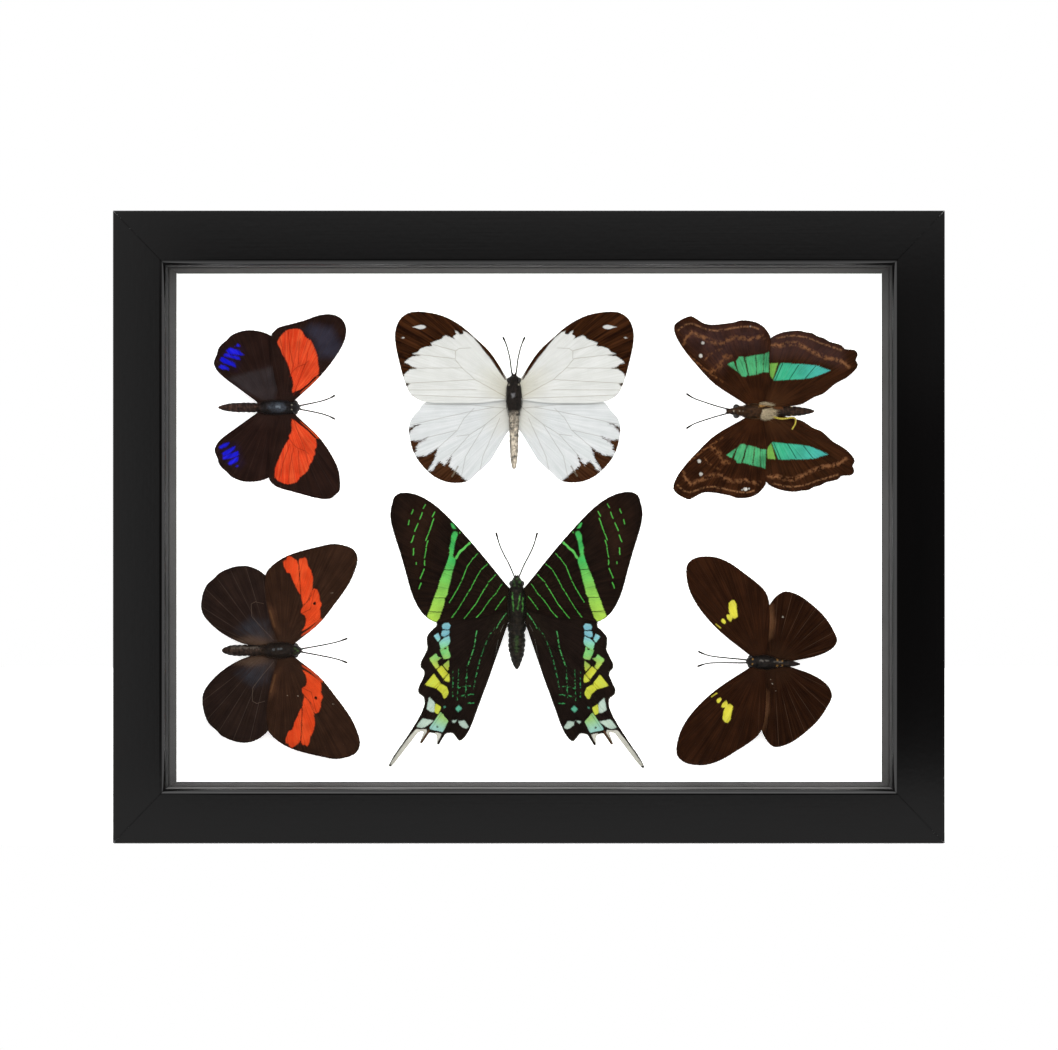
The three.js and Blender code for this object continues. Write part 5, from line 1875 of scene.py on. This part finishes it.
URANIA_HINDWING = WingLook(
    roots=((3.6, -2.4), (3.6, -6.2)), base=(26, 19, 15), streak=(38, 28, 23), root=(44, 36, 26),
    rim=(214, 214, 200), vein=(26, 16, 13), left=Fit(0.99, 1.0, 0.6), veins=HIND_VEINS, rim_width=0.35,
    columns=320, rows=80,
    patches=(
        Patch((136, 204, 220), (((22.9, -8.4), (23.7, -7.4), (25.2, -7.5), (25.9, -8.2), (25.7, -9.4),
            (23.4, -9.6)), ((23.3, -10), (25.9, -10), (26.2, -11.8), (25.2, -12.1), (23.3, -11.1)),
            ((23.3, -11.8), (25.2, -12.6), (26.9, -14.1), (26.2, -16.5), (23.5, -15), (23, -13.8)),
            ((27.2, -10.9), (28.8, -11.9), (27.9, -13.1), (27.2, -14), (26.4, -12.8))),
            streak=(160, 216, 218), fade=((140, 214, 150), (24.5, -12), (24.5, -16)), soft=0.25,
            ragged=0.3),
        Patch((122, 206, 124), (((23.7, -15.3), (26.6, -16.5), (26.1, -17.9), (25.2, -19.9), (23.3, -19.6),
            (22.8, -18.9), (23.5, -16.9)), ((23.3, -20.1), (25.5, -22), (23.7, -24), (23.3, -22.3)),
            ((25.7, -19.4), (27.2, -19.1), (27.9, -17.9), (30.3, -19.8), (29.1, -21.5), (27.9, -23.3),
            (26.7, -22.5), (27.6, -20.6))), streak=(160, 216, 120), fade=((214, 220, 70), (25, -18),
            (25, -24)), soft=0.25, ragged=0.3),
        Patch((172, 216, 124), (((26.1, -38), (23.2, -41.4), (24, -42.4), (25.2, -45.1), (27.2, -44.6),
            (29.6, -44.1), (30, -43.7), (27.9, -40.7)),), streak=(150, 212, 140), fade=((166, 218, 206),
            (25.5, -40), (27, -44)), soft=0.25, ragged=0.3),
        Patch((228, 226, 212), (((34.6, -44), (37.7, -47.8), (40.7, -51.9), (43.6, -56.2), (42.2, -56.8),
            (39, -53), (35.4, -49.2), (33.4, -46.5), (32.8, -44.2)), ((31, -44), (34, -44.2), (33.9, -47),
            (33.7, -49.4), (32.4, -47.4), (30.7, -45)), ((25.6, -45.6), (27.9, -45), (28.6, -46.5),
            (27.8, -49.4), (26.8, -48.2))), soft=0.25, ragged=0.2),
        Patch((220, 220, 62), (((25.9, -22.1), (27.6, -23.5), (25.2, -26.7), (24.2, -25.4), (23.7, -24.7)),
            ((23.3, -24.7), (25.2, -27.1), (23.3, -27.9), (23, -27.2)), ((28.6, -24.9), (31.7, -28.8),
            (29.6, -29.5), (27.6, -30), (26.2, -28.1)), ((26.1, -28.3), (27.6, -30.1), (25.9, -31.5),
            (25, -33.4), (24.2, -33.2), (23.3, -31.5), (24, -29.5)), ((25.9, -36.4), (28.1, -34.9),
            (28.3, -38.1), (26.9, -39))), streak=(204, 220, 92), soft=0.25, ragged=0.3),
        Patch((196, 222, 206), (((30.1, -32.9), (31, -37.1), (29.6, -38), (28.3, -38.3), (28.1, -34.9)),
            ((28.1, -41), (30.6, -40.7), (32.3, -40.3), (34.6, -43.2), (32.7, -43.7), (31.5, -43.4)),
            ((16.2, -43.1), (17.7, -40.9), (19.8, -41.2), (19.8, -42.2), (18.4, -43.4), (17, -43.7)),
            ((20.1, -40.7), (22.3, -41), (21.5, -42))), streak=(214, 228, 210), soft=0.3, ragged=0.3),
        Patch((104, 196, 160), (((18.6, -36.8), (19.8, -35.7), (21, -36.8), (20, -38.1)), ((24.3, -36.1),
            (25.1, -36.1), (25, -36.7), (24.3, -36.6))), soft=0.4, ragged=0.4),
        Patch((30, 24, 18), (((24.2, -15.9), (25.1, -15.9), (25.2, -16.5), (24.3, -16.6)), ((26.6, -42.9),
            (27.4, -42.8), (27.6, -43.5), (26.8, -43.6)), ((26.5, -44.9), (30.1, -44.3), (30.1, -44.8),
            (26.6, -45.4))), soft=0.25, ragged=0.15),
    ),
    strokes=(
        Stroke((34, 24, 18), 0.35, (((23.2, -41.5), (24.9, -44.8), (26.9, -49.4)),), share=0.9),
        Stroke((112, 78, 50), 0.5, (((30, -44.4), (33, -49)),), share=0.6),
        Stroke((92, 200, 110), 0.34, (((3.6, -3.8), (5.6, -6.6), (6.9, -8.9)), ((13.8, -10.1),
            (14.3, -13.1), (14.8, -16.2), (15.7, -18.9), (16.7, -21.6))), share=0.85, broken=0.35,
            fleck=1.4),
        Stroke((70, 180, 104), 0.32, (((7.5, -9), (9.2, -11.1), (10.6, -14.1), (11.6, -16.9), (12.6, -19.9),
            (13.5, -23.3), (14.1, -26), (14.7, -29.8)), ((17.5, -26.2), (17.7, -26.8)), ((16, -29),
            (20.5, -29.8)), ((14.6, -31.8), (19.7, -32.6)), ((13.6, -34.6), (17.3, -35)), ((17, -22),
            (17.6, -33)), ((20, -23), (20.4, -34)), ((22, -24), (22, -33))), share=0.8, wander=0.6,
            broken=0.6, fleck=0.9),
    ),
)
URANIA_BODY = BodyLook(
    rows=((9.2, 0.5), (8.5, 1.1), (7, 1.9), (5.2, 2.2), (4, 2.5), (1, 3), (-3, 3.1), (-6.4, 2.7),
        (-8.6, 3.4), (-10.4, 2.9), (-14.5, 3), (-18, 2.5), (-21.3, 1.4), (-23.1, 0.4)),
    eye=(1.5, 6.4, 1.15),
    antenna=((0.6, 8.2), (1.3, 10), (2.7, 13.2), (4.4, 16.4), (5.9, 19.8), (7.1, 24)),
    thorax=(24, 21, 15), abdomen=(30, 27, 22), hair=(40, 34, 26), waist=-6.8, hairs=800, joint=0.5,
    patches=(
        Patch((84, 170, 70), (((1.4, 3), (1.1, 3), (0.1, -2.8), (0.4, -2.8)), ((-1.4, 3.4), (-1.7, 3.4),
            (-1.2, -3.2), (-0.9, -3.2)), ((2, 1.6), (2.3, 1.6), (2.1, -3.4), (1.8, -3.4))), soft=0.35,
            ragged=0.45),
        Patch((74, 128, 62), (((-1.3, 7.2), (-0.8, 7.3), (-0.8, 6.6), (-1.3, 6.6)), ((0.8, 7.3), (1.3, 7.2),
            (1.3, 6.5), (0.8, 6.6)), box(-0.9, 5.9, -0.4, 5.5), box(0.4, 5.9, 0.9, 5.5), ((-0.3, 8.3),
            (0.3, 8.3), (0.2, 7.8), (-0.2, 7.8))), soft=0.5, ragged=0.7, share=0.75),
        # Painted shade: a dark band in the neck crease behind the head; the dark stripe down the abdomen is
        # its own colour.
        Patch((8, 7, 6), (box(-2.4, 4.9, 2.4, 4.4), ((-0.4, -9.4), (0.4, -9.4), (0.3, -13.5),
            (-0.3, -13.5))), soft=0.6, ragged=0.6, share=0.8),
        Patch((60, 92, 44), (((-0.6, -11.6), (0.5, -11.6), (0.4, -17.4), (-0.4, -17.4)),), soft=0.7,
            ragged=1.3, share=0.5),
    ),
)
LONGWING_FOREWING = WingLook(
    roots=((2.9, 5), (2.9, 0.2)), base=(36, 18, 8), streak=(60, 33, 17), root=(50, 30, 18),
    rim=(58, 32, 18), vein=(74, 52, 38), left=Fit(1.025, 1.02, 2.2), right=Fit(1.0, 1.0, 3.0),
    patches=(
        Patch((234, 224, 66), (((15.5, 11.8), (16.1, 12.3), (17.7, 12.9), (20.4, 12.9), (21.4, 11.8),
            (21.4, 11), (20, 10.2), (17.7, 10.1), (15.7, 9.8), (15.3, 10.4), (14.9, 11)), ((13.9, 12.3),
            (15.3, 13.7), (16.3, 13.7), (16.5, 13.1), (15.9, 11.8), (14.9, 11.6)), ((13.1, 14.3),
            (14.1, 15.7), (15.1, 15.1), (14.9, 14.3), (13.7, 13.8))), streak=(240, 234, 96), soft=0.25,
            ragged=0.3),
    ),
    strokes=(
        Stroke((222, 206, 70), 0.5, (((11.8, 15.7), (13.1, 17.3)),), share=0.7),
    ),
)
LONGWING_HINDWING = WingLook(
    roots=((2.8, -0.6), (1.2, -8.4)), base=(32, 16, 7), streak=(54, 30, 16), root=(58, 38, 24),
    rim=(58, 32, 18), vein=(112, 86, 68), left=Fit(1.17, 0.98, 4.2), right=Fit(1.0, 1.0, 3.0),
    veins=HIND_VEINS, vein_share=0.5,
    patches=(
        Patch((222, 214, 200), (((15.3, -6.1), (15.9, -6), (15.9, -5.6), (15.4, -5.5)),), left=(((5.7, -2),
            (6, -2), (6.1, -1.7), (5.8, -1.6)), ((7, -2.7), (7.4, -2.8), (7.4, -2.4), (7.1, -2.3)),
            ((8.2, -3.3), (8.5, -3.3), (8.5, -3), (8.2, -3)), ((9.3, -4), (9.7, -4), (9.7, -3.6),
            (9.4, -3.6))), soft=0.2, ragged=0.08, share=0.8),
        Patch((140, 98, 66), (((8, -0.6), (20, -0.6), (19.5, -2), (14, -2.6), (9, -1.8)),),
            streak=(112, 76, 50), soft=2.2, ragged=0.8, share=0.7),
    ),
)
LONGWING_BODY = BodyLook(
    rows=((6.9, 0.5), (6.5, 1.1), (5.7, 1.7), (4.6, 1.8), (3.6, 2.1), (0.5, 2.5), (-2, 2.1), (-4, 1.4),
        (-6.5, 1.25), (-8.5, 1.1), (-10.4, 0.7), (-11.8, 0.2)),
    eye=(1.3, 5.4, 1),
    antenna=((0.4, 6.2), (0.6, 8.5), (0.8, 13), (1.1, 18.2), (1.6, 21), (2.6, 23.7)),
    thorax=(18, 14, 12), abdomen=(28, 20, 15), hair=(36, 26, 20), waist=-3.2, gloss=0.12, hairs=150,
    patches=(
        # Painted highlights: pale glints along the thorax and the front of the abdomen.
        Patch((132, 126, 118), (((0.5, 2.4), (0.9, 2.3), (0.8, 1.2), (0.4, 1.2)), ((0.5, 0.6), (0.9, 0.5),
            (0.8, -0.9), (0.5, -0.9)), ((0.3, -2.2), (0.7, -2.2), (0.6, -5.6), (0.4, -5.6))), soft=0.5,
            ragged=0.7, share=0.6),
        Patch((176, 128, 62), both(box(0.7, -3.4, 1.3, -4), box(0.6, -5.3, 1.1, -5.7),
            box(0.6, 4.6, 1.1, 5)), soft=0.35, ragged=0.25, share=0.85),
    ),
)

INSECTS = (
    Insect("scarlet", (-86.9, 147.8), -90.0, SCARLET_FOREWING, SCARLET_HINDWING, SCARLET_BODY),
    Insect("white", (-5.2, 151.1), 0.0, WHITE_FOREWING, WHITE_HINDWING, WHITE_BODY),
    Insect("emperor", (78.2, 146.5), 90.0, EMPEROR_FOREWING, EMPEROR_HINDWING, EMPEROR_BODY),
    Insect("postman", (-86.5, 64.2), -90.0, POSTMAN_FOREWING, POSTMAN_HINDWING, POSTMAN_BODY),
    Insect("urania", (-4.25, 80.8), 0.0, URANIA_FOREWING, URANIA_HINDWING, URANIA_BODY),
    Insect("longwing", (81.6, 60.1), 87.0, LONGWING_FOREWING, LONGWING_HINDWING, LONGWING_BODY),
)


def build_insect(insect: Insect) -> None:
    """Build one insect: its body, and two wings of each pair from one finish.

    Args:
        insect: Where it sits and how it looks.
    """
    BodyMaker(insect).build()
    for kind, look in ((Kind.FOREWING, insect.forewing), (Kind.HINDWING, insect.hindwing)):
        material = WingFinish(f"{insect.name}_{kind.value}_scales", look).make()
        for side in Side:
            made = WingMaker(insect, kind, side).build(material)
            LOG.info("%s: %d triangles", made.name, len(made.data.polygons))


def main() -> None:
    """Build the case, the insects and the studio."""
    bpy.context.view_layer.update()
    Case().build()
    for insect in INSECTS:
        build_insect(insect)
    Studio().build()


if __name__ == "__main__":
    logging.basicConfig(level=logging.INFO, format="%(message)s")
    main()
